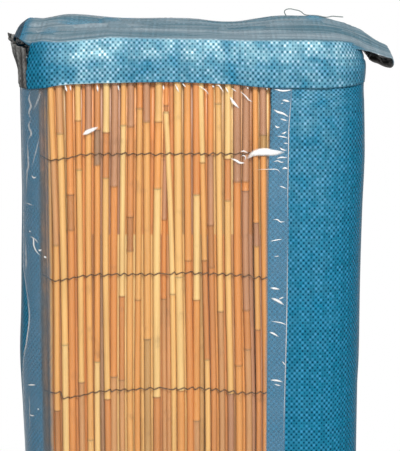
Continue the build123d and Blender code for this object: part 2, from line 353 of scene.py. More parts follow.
def woven_finish(name, plain, dip_shade, painted_shine, wear_and_light, wear_and_light_dip_shade, painted_glint, roughness):
    """Tape fabric with painted shade in its dips and painted glints on its tapes, paler for wear and
    painted sheen, grey where it gets a painted sheen of the surroundings.
    """
    finish, tree, shader = new_finish(name)
    coords = tree.nodes.new("ShaderNodeUVMap")
    coords.uv_map = "weave"
    tapes = add_node(tree, "ShaderNodeMapping", Vector=coords.outputs["UV"])
    tapes.inputs["Scale"].default_value = (1 / TAPE_ALONG, 1 / TAPE_UP, 1)
    weave = add_node(tree, "ShaderNodeGroup")
    weave.node_tree = weave_group
    weave.inputs["Crown"].default_value = TAPE_CROWN
    tree.links.new(tapes.outputs[0], weave.inputs["Place"])
    patch = stretched_noise(tree, coords, (1, 1, 1), 70.0)
    # How pale the cloth is, for wear and for painted sheen and shade
    pale = sums(tree, "MULTIPLY", reading(tree, "wear_and_painted_light"), sums(tree, "MULTIPLY_ADD", patch, 3.2, -0.6))
    tone = sums(tree, "MULTIPLY_ADD", weave.outputs["Tone"], 0.34, 0.83)
    ground = lit(tree, mixed(tree, pale, plain, wear_and_light), tone)
    chance = weave.outputs["Speck"]
    # The dark dots are painted shade in the dips between the tapes
    dip_shade_share = sums(tree, "MULTIPLY", weave.outputs["Dot"], sums(tree, "MULTIPLY_ADD", chance, 0.35, 0.75))
    cloth = mixed(tree, dip_shade_share, ground, mixed(tree, pale, dip_shade, wear_and_light_dip_shade))
    # Painted glints on the bulging tapes, brighter where the cloth is paler
    glint_share = sums(tree, "MULTIPLY", weave.outputs["Bead"], sums(tree, "MULTIPLY_ADD", chance, 1.4, -0.2))
    glint_share = sums(tree, "MULTIPLY", glint_share, sums(tree, "MULTIPLY_ADD", pale, 0.9, 0.55))
    cloth = mixed(tree, glint_share, cloth, mixed(tree, sums(tree, "MULTIPLY", pale, 1.5), painted_shine, painted_glint))
    # Streaky painted sheen on the fold on top
    streak = sums(tree, "MULTIPLY_ADD", stretched_noise(tree, coords, (0.25, 5, 1), 20.0), 4.0, -1.5)
    top_sheen_paint = lit(tree, mixed(tree, streak, TOP_SHEEN_DARK, TOP_SHEEN_PALE), tone)
    cloth = mixed(tree, reading(tree, "painted_top_sheen"), cloth, top_sheen_paint)
    # Grey painted sheen round the front corners
    cloth = mixed(tree, reading(tree, "painted_corner_sheen"), cloth, CORNER_SHEEN_GREY)
    tree.links.new(cloth, shader.inputs["Base Color"])
    rough = sums(tree, "MULTIPLY_ADD", weave.outputs["Tone"], 0.15, roughness)
    rough = sums(tree, "MULTIPLY_ADD", reading(tree, "painted_top_sheen"), 0.3, rough)
    tree.links.new(rough, shader.inputs["Roughness"])
    shader.inputs["Specular IOR Level"].default_value = 0.03
    normal = add_node(tree, "ShaderNodeNormalMap", Color=weave.outputs["Slope"])
    normal.uv_map = "weave"
    tree.links.new(normal.outputs[0], shader.inputs["Normal"])
    return finish


print("woven finish ready, for tapes", TAPE_ALONG, "by", TAPE_UP)

# %% [markdown]
# The cloth shows three faces: its blue outside, its dull inside where an ear turns over, and a near-black
# cloth that paints the deep shade in the rolled left end. All three are the same weave with other
# colours.

# %% Finishes of the bag
bag_blue = woven_finish(
    "bag_blue",
    plain=(0.008, 0.168, 0.284, 1),
    dip_shade=(0.0, 0.024, 0.054, 1),
    painted_shine=(0.06, 0.33, 0.62, 1),
    wear_and_light=(0.42, 0.69, 0.76, 1),
    wear_and_light_dip_shade=(0.02, 0.14, 0.22, 1),
    painted_glint=(0.86, 0.96, 0.98, 1),
    roughness=0.36,
)
# The dull inside of the cloth; near black where wear_and_painted_light is low, which paints the shade in
# the turned end of the right ear
bag_inside_and_shade = woven_finish(
    "bag_inside_and_shade",
    plain=(0.045, 0.042, 0.040, 1),
    dip_shade=(0.03, 0.03, 0.03, 1),
    painted_shine=(0.06, 0.06, 0.055, 1),
    wear_and_light=(0.26, 0.26, 0.25, 1),
    wear_and_light_dip_shade=(0.17, 0.17, 0.165, 1),
    painted_glint=(0.30, 0.30, 0.29, 1),
    roughness=0.55,
)
# Near-black cloth of painted deep shade, for the rolled left end of the strip
bag_painted_shade = woven_finish(
    "bag_painted_shade",
    plain=(0.004, 0.035, 0.065, 1),
    dip_shade=(0.0, 0.01, 0.02, 1),
    painted_shine=(0.02, 0.08, 0.13, 1),
    wear_and_light=(0.44, 0.73, 0.82, 1),
    wear_and_light_dip_shade=(0.02, 0.14, 0.22, 1),
    painted_glint=(0.86, 0.96, 0.98, 1),
    roughness=0.4,
)
print("woven finishes", bag_blue.name, bag_inside_and_shade.name, bag_painted_shade.name)

# %% [markdown]
# The bag follows a rounded rectangle. If its cloth is first drawn flat, with its length round
# the bag as X and its height as Y, the weave is easy to lay on it and the window easy to cut.
# The wrap below then bends such a flat sheet round the bag. Distance 0 is the middle of the front.

# %% Wrap round the bag
HALF_X = 144.5 * MM
HALF_Y = 77.5 * MM
CORNER = 44.0 * MM
FRONT_RUN = HALF_X - CORNER
SIDE_RUN = 2 * (HALF_Y - CORNER)
ARC_RUN = CORNER * math.pi / 2
HALF_GIRTH = 2 * FRONT_RUN + 2 * ARC_RUN + SIDE_RUN


def wrap(along, out):
    """Place in plan at a distance round the bag and outwards from it, with the outward direction."""
    hand = math.copysign(1, along)
    left = min(abs(along), HALF_GIRTH)
    if left < FRONT_RUN:
        place, facing = Vector((left, -HALF_Y)), Vector((0, -1))
    elif left < FRONT_RUN + ARC_RUN:
        turn = (left - FRONT_RUN) / CORNER
        facing = Vector((math.sin(turn), -math.cos(turn)))
        place = Vector((FRONT_RUN, CORNER - HALF_Y)) + facing * CORNER
    elif left < FRONT_RUN + ARC_RUN + SIDE_RUN:
        place, facing = Vector((HALF_X, CORNER - HALF_Y + left - FRONT_RUN - ARC_RUN)), Vector((1, 0))
    elif left < FRONT_RUN + 2 * ARC_RUN + SIDE_RUN:
        turn = (left - FRONT_RUN - ARC_RUN - SIDE_RUN) / CORNER
        facing = Vector((math.cos(turn), math.sin(turn)))
        place = Vector((FRONT_RUN, HALF_Y - CORNER)) + facing * CORNER
    else:
        place, facing = Vector((HALF_GIRTH - left, HALF_Y)), Vector((0, 1))
    place = place + facing * out
    return Vector((place.x * hand, place.y)), Vector((facing.x * hand, facing.y))


def along_at(x):
    """Distance round the bag of a point on its front half, from its x."""
    if abs(x) <= FRONT_RUN:
        return x
    turn = math.asin(min((abs(x) - FRONT_RUN) / CORNER, 1))
    return math.copysign(FRONT_RUN + CORNER * turn, x)


print("girth", round(2 * HALF_GIRTH, 4))

# %% [markdown]
# Hand-made edges, such as the wavy fold on top, are given by a few measured points.
# This helper draws a smooth line through such points, without overshooting much.

# %% Smooth line through points
def through(points, at):
    """Value at a place on a smooth line through (place, value) pairs, level beyond its ends."""
    if at <= points[0][0]:
        return points[0][1]
    if at >= points[-1][0]:
        return points[-1][1]
    index = next(i for i in range(len(points) - 1) if points[i + 1][0] >= at)
    (x0, y0), (x1, y1) = points[index], points[index + 1]
    before = points[max(index - 1, 0)]
    after = points[min(index + 2, len(points) - 1)]
    width = x1 - x0
    slope0 = (y1 - before[1]) / (x1 - before[0])
    slope1 = (after[1] - y0) / (after[0] - x0)
    t = (at - x0) / width
    blend = t * t * (3 - 2 * t)
    bend0 = t * (1 - t) ** 2
    bend1 = -t * t * (1 - t)
    return y0 + (y1 - y0) * blend + width * (slope0 * bend0 + slope1 * bend1)


def smooth_step(low, high, value):
    """0 below the low limit, 1 above the high one, and a soft rise between."""
    t = min(max((value - low) / (high - low), 0), 1)
    return t * t * (3 - 2 * t)


print("smooth line ready, middle of a test line:", round(through([(0, 0), (1, 1), (2, 0)], 0.5), 3))

# %% [markdown]
# Every cloth piece starts as a flat grid, takes its weave while it is still flat, and then
# becomes an object of its own. These helpers do those steps, so each piece below says only what
# is special to it. Thickness comes from a Solidify modifier, since a thin sheet is easy to shape.

# %% Piece helpers
def flat_grid(width_steps, height_steps):
    """A flat square grid from 0 to 1 in X and Y."""
    shape = bmesh.new()
    half = Matrix.Translation((0.5, 0.5, 0))
    bmesh.ops.create_grid(shape, x_segments=width_steps, y_segments=height_steps, size=0.5, matrix=half)
    return shape


def lay_weave(shape):
    """UV map in metres from a sheet's flat X and Y."""
    layer = shape.loops.layers.uv.new("weave")
    for face in shape.faces:
        for corner in face.loops:
            corner[layer].uv = corner.vert.co.xy


def add_piece(name, shape, finishes, slot, *nodes):
    """A finished mesh as a piece that rides on the object."""
    mesh = bpy.data.meshes.new(name)
    shape.to_mesh(mesh)
    shape.free()
    mesh.polygons.foreach_set("use_smooth", [True] * len(mesh.polygons))
    for finish in finishes:
        mesh.materials.append(finish)
    piece = bpy.data.objects.new(name, mesh)
    scene.collection.objects.link(piece)
    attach(piece, "root")
    if nodes:
        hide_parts(*nodes)
    print(name, len(mesh.polygons), "faces")
    return piece


def give_wall(piece, thickness, offset):
    """Thickness for a sheet, by a Solidify modifier."""
    wall = piece.modifiers.new("wall", "SOLIDIFY")
    wall.thickness = thickness
    wall.offset = offset
    return wall


print("piece helpers ready")

# %% [markdown]
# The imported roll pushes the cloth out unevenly. A cloth simulation could find that shape, but
# a soft noise and two lists of bulges give it at once, and the same each time. The film and
# the folded band use the same swell, and so they lie on the cloth everywhere.

# %% Swell of the cloth
# Each pair: height and how far the cloth bulges out there, on the left and on the right side
LEFT_BULGE = [
    (560, 0), (639, 0.9), (683, 2.6), (726, 4.2), (770, 2.7),
    (813, 1.7), (857, 0.2), (901, -0.7), (955, -1.7),
]
RIGHT_BULGE = [
    (560, 0), (639, -1.4), (683, -1.5), (726, 0), (813, -0.4),
    (857, 0), (901, 1.4), (940, 0.4), (960, -0.6),
]
LEAST_SWELL = -0.7 * MM


def swell(along, height):
    """How far the cloth stands out from its plain shape."""
    slow = noise.noise((along * 8, height * 5, 1.3)) * 1.2 * MM
    quick = noise.noise((along * 24, height * 11, 7.7)) * 0.5 * MM
    bulge = through(LEFT_BULGE if along < 0 else RIGHT_BULGE, height / MM)
    return max(slow + quick + bulge * wrap(along, 0)[1].x ** 2 * MM, LEAST_SWELL)


print("swell at mid front", round(swell(0, 0.5) / MM, 2), "mm")

# %% [markdown]
# The front corners get a grey painted sheen, a painted reflection of the white surroundings where the
# cloth turns away, and the front gets a paler painted sheen of the lamps above, growing towards the
# mouth. Both are smooth functions of the place, and the bag's top edge, which sinks towards the drooping
# ends, is a line through a few heights.

# %% Marks and top edge of the cloth
BAG_TOP = 1003 * MM
SHOULDER_START = 0.95
SHOULDER = [
    (-145, 984), (-134, 986), (-120, 987.5), (-105, 988), (100, 988),
    (122, 987), (133, 985), (141, 982.5), (145, 980),
]


def corner_painted_sheen(along):
    """How much grey painted sheen the cloth gets just round the front corners, where it turns away at a
    grazing angle.
    """
    side = FRONT_RUN + ARC_RUN
    near = smooth_step(side - 18 * MM, side - 9 * MM, abs(along))
    return 0.55 * near * smooth_step(side + 24 * MM, side, abs(along))


def shoulder_level(x, height):
    """Height of the cloth near its top, lower where the strip above it droops."""
    if height < SHOULDER_START:
        return height
    limit = through(SHOULDER, x / MM) * MM
    share = (limit - SHOULDER_START) / (BAG_TOP - SHOULDER_START)
    return SHOULDER_START + (height - SHOULDER_START) * share


def front_painted_sheen(x, height):
    """Painted sheen of the lamps above: most on the flat front near the mouth, fading downwards and round
    the corners.
    """
    high = math.exp(-max(0.96 - height, 0) / 0.085)
    return (0.01 + 0.13 * high) * smooth_step(143 * MM, 108 * MM, abs(x))


print("shoulder in the middle at", round(shoulder_level(0, BAG_TOP) / MM, 1), "mm")

# %% [markdown]
# The body is a tube of cloth, drawn flat, with the window cut out of it before it is bent.
# Cut first, the window's edges stay clean, and the weave runs on past them undisturbed.
# The cloth is then wrapped, swelled, and tucked in under the band that will hang over it.

# %% Tube with its window
WINDOW_LEFT = -126 * MM
WINDOW_RIGHT = 64 * MM
WINDOW_LOW = 70 * MM
WINDOW_HIGH = 979 * MM
WINDOW_TAPER = [(880, 0), (905, 0.3), (930, 2), (955, 4), (979, 4.6)]
BAND_TUCK = 2.6 * MM


def cut_window(shape, edges):
    """Cuts the window out of the flat cloth, between two upright edges."""
    cuts = [((edge, 0, 0), (1, 0, 0)) for edge in edges]
    cuts += [((0, level, 0), (0, 1, 0)) for level in (WINDOW_LOW, WINDOW_HIGH)]
    for place, across in cuts:
        everything = shape.verts[:] + shape.edges[:] + shape.faces[:]
        bmesh.ops.bisect_plane(shape, geom=everything, plane_co=place, plane_no=across)
    inside = []
    for face in shape.faces:
        middle = face.calc_center_median()
        if edges[0] < middle.x < edges[1] and WINDOW_LOW < middle.y < WINDOW_HIGH:
            inside.append(face)
    bmesh.ops.delete(shape, geom=inside, context="FACES")
    for vert in shape.verts:
        if abs(vert.co.x - edges[1]) < 0.01 * MM:
            vert.co.x += through(WINDOW_TAPER, vert.co.y / MM) * MM


def make_bag_body():
    """The tube with its window, still open at both ends."""
    shape = flat_grid(150, 126)
    for vert in shape.verts:
        vert.co.x = (vert.co.x - 0.5) * 2 * HALF_GIRTH
        vert.co.y = vert.co.y * BAG_TOP
    cut_window(shape, (along_at(WINDOW_LEFT), along_at(WINDOW_RIGHT)))
    lay_weave(shape)
    wear_and_light = shape.verts.layers.float.new("wear_and_painted_light")
    corner_sheen_layer = shape.verts.layers.float.new("painted_corner_sheen")
    for vert in shape.verts:
        along, height = vert.co.xy
        place, facing = wrap(along, 0)
        vert[wear_and_light] = front_painted_sheen(place.x, height)
        vert[corner_sheen_layer] = corner_painted_sheen(along)
        calm = smooth_step(0, 0.03, height) * smooth_step(1.003, 0.98, height)
        fade = smooth_step(HALF_GIRTH, HALF_GIRTH - 0.04, abs(along))
        tuck = BAND_TUCK * smooth_step(0.962, 0.978, height) * smooth_step(0.2, 0.7, -facing.y)
        place += facing * (swell(along, height) * calm * fade - tuck)
        vert.co = (place.x, place.y, shoulder_level(place.x, height))
    bmesh.ops.remove_doubles(shape, verts=shape.verts, dist=0.05 * MM)
    return shape


body_shape = make_bag_body()
print("tube of", len(body_shape.faces), "faces")

# %% [markdown]
# The bag stands on a flat base, and its top is closed under the folded mouth. Both ends are
# made alike: the open rim is extruded inwards in two small steps and filled, and at the top
# the steps rise a little, which rounds it. Only then does the cloth get its wall, so that the
# turned-in rims are as thick as the rest.

# %% Ends of the tube
BAG_WALL = 0.5 * MM


def close_end(shape, rim, turn_in):
    """Cloth folded in at one end of the tube and closed flat."""
    layer = shape.loops.layers.uv["weave"]
    before = set(shape.faces)
    for inset, rise in turn_in:
        grown = bmesh.ops.extrude_edge_only(shape, edges=rim)["geom"]
        rim = [e for e in grown if isinstance(e, bmesh.types.BMEdge) and e.is_boundary]
        for vert in {v for e in rim for v in e.verts}:
            reach = Vector((vert.co.x / HALF_X, vert.co.y / HALF_Y)).length
            shrink = 1 - inset / (reach * HALF_Y)
            vert.co = (vert.co.x * shrink, vert.co.y * shrink, vert.co.z + rise)
    lid = bmesh.ops.contextual_create(shape, geom=rim)["faces"]
    bmesh.ops.triangulate(shape, faces=lid)
    for face in set(shape.faces) - before:
        for corner in face.loops:
            corner[layer].uv = corner.vert.co.xy


def end_rims(shape):
    """The tube's open edges at the bottom and at the top, without those of the window."""
    open_edges = [e for e in shape.edges if e.is_boundary]
    low = [e for e in open_edges if max(v.co.z for v in e.verts) < 0.001]
    high = [e for e in open_edges if min(v.co.z for v in e.verts) > 0.98]
    return low, high


bottom_rim, top_rim = end_rims(body_shape)
close_end(body_shape, bottom_rim, [(1.2 * MM, 0.0), (3 * MM, 0.0)])
close_end(body_shape, top_rim, [(1.5 * MM, 0.6 * MM), (3 * MM, 0.3 * MM)])
bmesh.ops.recalc_face_normals(body_shape, faces=body_shape.faces)
bag_body = add_piece("bag_body", body_shape, [bag_blue], "woven_bag", "woven_bag")
give_wall(bag_body, BAG_WALL, -1)

# %% [markdown]
# The mouth of the bag is pressed flat, folded over to the front and lies on top as a strip.
# Seen from the side the cloth makes one sweep: up the band, round a small fold, and back along
# the top to a low crest. The tilt of the cloth at a few distances from the fold gives the front
# of that sweep, and the strip's lip and the band both follow it, so no gap opens there.

# %% Sweep of the front fold
# Each pair: distance from the fold along the cloth, tilt from upright in degrees
TILTS = [(0, 90), (2, 62), (4, 36), (6.3, 20), (14, 14), (22, 6), (30, 0), (60, 0)]
BAND_DEEP = 40.0
HEM_OUT = 2.4


def sweep_table():
    """Distance from the fold, run outwards and drop of the cloth, in half-millimetre steps."""
    out = drop = 0.0
    table = []
    for step in range(90):
        table.append((step * 0.5, out, drop))
        tilt = math.radians(through(TILTS, step * 0.5 + 0.25))
        out += math.sin(tilt) * 0.5
        drop += math.cos(tilt) * 0.5
    return table


SWEEP = sweep_table()
SWEEP_OUT = [(row[0], row[1]) for row in SWEEP]
SWEEP_DROP = [(row[0], row[2]) for row in SWEEP]
CREST_OUT = HEM_OUT - through(SWEEP_OUT, BAND_DEEP)
print("the fold lies", round(-CREST_OUT, 2), "mm behind the front of the bag")

# %% [markdown]
# A table gives the strip's height and edges along its length. Its left end is rolled under, and
# its right end droops past the corner as an ear, turns under and curls up again inside.
# Plain heights over x could not turn under, so the rows are counted along the cloth instead.

# %% Table of the strip
# Each row: x, height at the front fold and at the crest, y of the fold and of the back edge
STRIP = [
    (-141.0, 991.5, 993.0, -14, 26),
    (-146.5, 991.0, 992.8, -12, 28),
    (-150.0, 993.5, 996.0, -8, 30),
    (-151.2, 996.8, 1000.0, -6, 32),
    (-150.2, 998.6, 1002.6, -9, 35),
    (-148.0, 999.2, 1004.8, -18, 40),
    (-145.0, 999.2, 1007.0, -29, 48),
    (-142.0, 999.0, 1008.6, -38, 54),
    (-137.0, 999.0, 1009.4, -46, 61),
    (-130.0, 1000.0, 1008.8, -57, 66),
    (-121.0, 1002.2, 1010.1, -65.4, 70),
    (-110.0, 1001.8, 1011.8, -70.3, 74),
    (-95.0, 1003.0, 1011.4, -71.5, 76),
    (-80.0, 1004.4, 1010.0, -71.5, 76),
    (-66.0, 1005.9, 1008.8, -71.5, 76),
    (-48.0, 1005.5, 1008.3, -71.5, 76),
    (-14.0, 1004.6, 1008.4, -71.5, 76),
    (5.0, 1004.4, 1007.6, -71.5, 76),
    (22.0, 1004.0, 1005.5, -71.5, 76),
    (40.0, 1003.3, 1005.5, -71.5, 76),
    (56.0, 1003.2, 1007.8, -71.5, 76),
    (74.0, 1003.2, 1010.3, -71.5, 76),
    (98.0, 1003.0, 1010.3, -71.5, 76),
    (112.0, 1002.4, 1009.6, -69.7, 75),
    (122.0, 1001.4, 1007.4, -64.8, 72),
    (133.0, 998.8, 1004.4, -56.5, 64),
    (141.0, 994.8, 1001.0, -50.0, 56),
    (146.0, 991.2, 998.6, -46.0, 52),
    (152.0, 989.0, 994.6, -43.0, 48),
    (158.6, 986.6, 990.2, -41.0, 44),
    (163.6, 984.8, 987.6, -39.0, 41),
    (167.8, 983.6, 985.6, -38.0, 39),
]
EAR_TURN = [
    (169.4, 980.8, 982.2, -37, 38),
    (169.2, 977.8, 978.4, -37, 38),
    (167.0, 975.7, 976.0, -37, 38),
    (161.0, 976.8, 976.8, -37, 38),
    (155.5, 979.4, 979.0, -37, 38),
    (149.4, 981.2, 980.8, -37, 38),
    (148.0, 983.6, 983.0, -36, 37),
    (150.2, 986.0, 985.4, -36, 37),
    (154.4, 985.4, 985.0, -36, 37),
    (157.4, 983.4, 983.2, -37, 37),
    (159.4, 980.0, 980.2, -37, 37),
]


def row_marks():
    """Distance along the strip of each row of its table, as a share of the whole."""
    rows = STRIP + EAR_TURN
    marks = [0.0]
    for before, row in zip(rows, rows[1:]):
        marks.append(marks[-1] + math.hypot(row[0] - before[0], row[1] - before[1]))
    return [mark / marks[-1] for mark in marks]


STRIP_MARKS = row_marks()
ROLL_END = STRIP_MARKS[4]
TURN_START = STRIP_MARKS[len(STRIP)]


def strip_row(distance):
    """One row of the strip's table at a share of its length, past the tip onto the turned end too."""
    rows = STRIP + EAR_TURN
    return [through([(mark, row[i]) for mark, row in zip(STRIP_MARKS, rows)], distance) for i in range(5)]


print("strip of", len(STRIP), "rows with", len(EAR_TURN), "more for the turned end")

# %% [markdown]
# The strip isn't smooth. Lengthwise folds step up towards the back, and in a few hollows and bumps the
# grey painted sheen gives way to the blue cloth, which paints the shade in those pockets. Each fold is a
# step that dies away behind its line, and each hollow a rounded patch, so both are added up at any place.

# %% Folds and hollows of the strip
# Each fold: y, height of its step, and a seed for how its line wanders
FOLDS = [(-58, 2.0, 0.9), (-38, 1.8, 7.7), (-16, 2.2, 2.3), (8, 2.4, 4.1), (28, 2.0, 5.6)]
# Each hollow or bump: x, y, width, depth, rise and how much painted shade it gets in place of the painted
# sheen
HOLLOWS = [
    (-95, 10, 18, 14, -3.0, 0.65),
    (-79, 18, 2.6, 14, -2.4, 0.7),
    (-70, 28, 8, 15, 1.2, 0.5),
    (-63, 47, 13, 7, 0.3, 0.75),
    (-119, -30, 7, 12, -0.8, 0.55),
    (-24, 40, 10, 8, -1.6, 0.25),
    (64, 38, 11, 7, -1.6, 0.2),
    (106, 27, 7.5, 16, 1.0, 0.75),
]


def strip_relief(x, y):
    """Rise of the strip's folds and hollows in millimetres, and how much painted shade replaces the
    painted sheen there.
    """
    rise = noise.noise((x * 0.05, y * 0.12, 4.4)) * 0.7
    hollow_shade = 0
    for crease, step, seed in FOLDS:
        wander = noise.noise((x * 0.018, seed, 0)) * 11 + noise.noise((x * 0.06, seed, 3)) * 2.5
        behind = y - crease - wander
        if behind > 0:
            rise += step * math.exp(-behind / 12) * (0.7 + 1.1 * noise.noise((x * 0.02, seed, 9)))
    for place_x, place_y, width, depth, lift, hollow_shade_share in HOLLOWS:
        near = math.exp(-((((x - place_x) / width) ** 2 + ((y - place_y) / depth) ** 2) ** 2))
        rise += lift * near
        hollow_shade = max(hollow_shade, hollow_shade_share * near)
    return rise, hollow_shade


print(len(FOLDS), "folds and", len(HOLLOWS), "hollows and bumps")

# %% [markdown]
# Across its width the strip has three parts: a lip that rolls over the front fold onto the
# band, the top itself, and a flap that hangs down behind. They are one piece of cloth, so one
# grid makes all three, and a point's line in the grid says which part it belongs to.

# %% Section of the strip
STRIP_COLUMNS = 210
STRIP_LINES = 46
CREST = 0.84
# Each line of the lip: distance from the fold along the cloth, and its painted sheen
LIP = [(5.6, 0.0), (4.2, 0.15), (2.8, 0.5), (1.4, 0.85), (0.0, 1.0)]
# Each line of the flap: distance behind the strip, and its height
FLAP = [(0.6, -0.8), (1.8, -3.0), (2.6, -7.0), (2.6, -13.0), (2.4, -20.0)]


def strip_point(distance, line, row):
    """Place of one point of the strip in millimetres, and its painted sheen."""
    x, z_front, z_crest, y_front, y_back = row
    ear = smooth_step(135, 150, x)
    spread = smooth_step(ROLL_END, ROLL_END * 2.2, distance)
    turned = (1 - ear) * smooth_step(-147, -132, x) * spread
    if line < len(LIP):
        arc, painted_top_sheen = LIP[line]
        y = y_front - (through(SWEEP_OUT, arc) - 0.9) * turned
        z = z_front - through(SWEEP_DROP, arc) * turned + 0.3 - 1.1 * turned
        return (x, y, z), 1 - (1 - painted_top_sheen) * turned
    back = line - (STRIP_LINES - len(FLAP))
    if back > 0:
        out, rise = FLAP[back - 1]
        return (x, y_back + out * turned, z_crest + (rise - 5) * turned), 1.0
    share = (line - len(LIP) + 1) / (STRIP_LINES - len(FLAP) - len(LIP) + 1)
    y = y_front + (y_back - y_front) * share
    rise, hollow_shade = strip_relief(x, y)
    edge = smooth_step(0.02, 0.14, share) * smooth_step(0.9, 0.72, share)
    z = z_front + (z_crest - z_front) * smooth_step(0, CREST, share) + 0.3
    z -= 0.9 * smooth_step(0.2, CREST, share) * (1 - ear)
    z += rise * edge * (1 - 0.7 * ear) * spread - 5 * turned * smooth_step(CREST, 1, share)
    crown = 2.4 * math.sin(math.pi * share) * ear
    z += crown * smooth_step(TURN_START + 0.02, TURN_START - 0.01, distance)
    return (x, y, z), 1 - hollow_shade


print("section of", STRIP_LINES, "lines, of which", len(LIP), "lip and", len(FLAP), "flap")

# %% [markdown]
# The strip can now be laid out point by point. A grey painted sheen covers all of it but the patches of
# painted shade, the lip, and the turned end, where the dull inside of the cloth shows, kept near black as
# painted shade. The rolled left end and the turned right end get a finish of their own through the faces'
# material index; the left end's finish paints deep shade.

# %% Cloth of the strip
# How much painted sheen the cloth gets just below the fold, from left to right; the ends get almost none,
# which paints their shade
BAND_PAINTED_SHEEN = [
    (-134, 0), (-120, 0.05), (-110, 0.2), (-86, 0.52), (-38, 0.28),
    (8, 0.46), (75, 0.34), (105, 0.4), (132, 0.28), (143, 0.05),
]
STRIP_FLAT = (0.40, 0.19)


def face_out(shape, outward):
    """Turns a sheet's faces round if they look the wrong way."""
    shape.normal_update()
    if sum(face.normal.dot(outward) * face.calc_area() for face in shape.faces) < 0:
        bmesh.ops.reverse_faces(shape, faces=shape.faces)


def make_strip():
    """The flattened mouth: a long grid with a lip round the front fold and a flap down the back."""
    shape = flat_grid(STRIP_COLUMNS, STRIP_LINES)
    layer = shape.loops.layers.uv.new("weave")
    top_sheen_paint = shape.verts.layers.float.new("painted_top_sheen")
    wear_and_light = shape.verts.layers.float.new("wear_and_painted_light")
    for face in shape.faces:
        middle = face.calc_center_median().x
        if middle > TURN_START:
            face.material_index = 1
        if middle < ROLL_END * 1.45:
            face.material_index = 2
        for corner in face.loops:
            corner[layer].uv = (corner.vert.co.x * STRIP_FLAT[0], corner.vert.co.y * STRIP_FLAT[1])
    rows = {}
    for vert in shape.verts:
        distance, line = vert.co.x, round(vert.co.y * STRIP_LINES)
        if distance not in rows:
            rows[distance] = strip_row(distance)
        place, painted_top_sheen = strip_point(distance, line, rows[distance])
        vert[top_sheen_paint] = painted_top_sheen * smooth_step(ROLL_END * 1.45, ROLL_END * 2.0, distance)
        vert[top_sheen_paint] *= smooth_step(TURN_START + 0.012, TURN_START - 0.002, distance)
        # The turned end stays near black as painted shade, and the pockets of painted shade show a paler
        # blue
        vert[wear_and_light] = 0.06 if distance > TURN_START else 0.22 * (1 - painted_top_sheen)
        if line < len(LIP) and distance < TURN_START:
            vert[wear_and_light] = through(BAND_PAINTED_SHEEN, rows[distance][0]) * (1 - painted_top_sheen)
        vert.co = Vector(place) * MM
    face_out(shape, Vector((0, 0, 1)))
    return shape


mouth_strip = add_piece("mouth_strip", make_strip(), [bag_blue, bag_inside_and_shade, bag_painted_shade], "woven_bag")
give_wall(mouth_strip, 0.7 * MM, -1)

# %% [markdown]
# Below the fold, the mouth hangs down over the front as a band. Creases pull it in at a few places, it
# puffs out softly between them, and it gets a pale painted sheen where it stands out most, with painted
# shade in the creases.
# A simulated cloth would not crease just there, so each crease is a groove with its own line.

# %% Creases of the band
# Each crease: x at the top and at the bottom, width and depth
BAND_CREASES = [
    (-12, -11.5, 3.2, 1.2),
    (27.0, 35.5, 4.6, 1.9),
    (72.5, 72.8, 1.5, 0.6),
    (91, 92, 1.5, 0.7),
    (-104, -99, 5, 1.0),
    (-40, -52, 4, 0.8),
    (112, 118, 3, 0.9),
]


def band_dents(x, share):
    """How far the creases pull the band in at a place, in millimetres, and the share of painted sheen
    left there, which the creases lower as painted shade.
    """
    dent = 0
    sheen_share = 1
    for at_top, at_bottom, width, depth in BAND_CREASES:
        gap = (x - at_bottom - (at_top - at_bottom) * share) / width
        dent += depth * math.exp(-gap * gap)
        sheen_share *= 1 - min(0.34 * depth, 0.8) * math.exp(-gap * gap)
    level_crease = smooth_step(88, 96, x) * math.exp(-(((share - 0.55) / 0.04) ** 2))
    return dent + 0.8 * level_crease, sheen_share * (1 - 0.5 * level_crease)


print(len(BAND_CREASES), "upright creases and a level one")

# %% [markdown]
# The band is drawn flat and bent three ways: over the fold, round the front corners, and in at
# the creases. It hangs from the strip's front fold, and its uneven hem is a line through a few
# heights, so the cloth between the two is stretched a little to meet both.

# %% Band over the front
HEM = [
    (-140, 960.4), (-134, 961), (-118, 964), (-106, 966.6), (-85, 968),
    (-60, 968.6), (-17, 969.2), (30, 967.4), (64, 964.6), (140, 964.2),
]
BAND_LEFT = along_at(-135 * MM)
BAND_RIGHT = along_at(143.5 * MM) + 12 * MM
FOLD_LEVEL = [(row[0], row[1]) for row in STRIP[6:]]


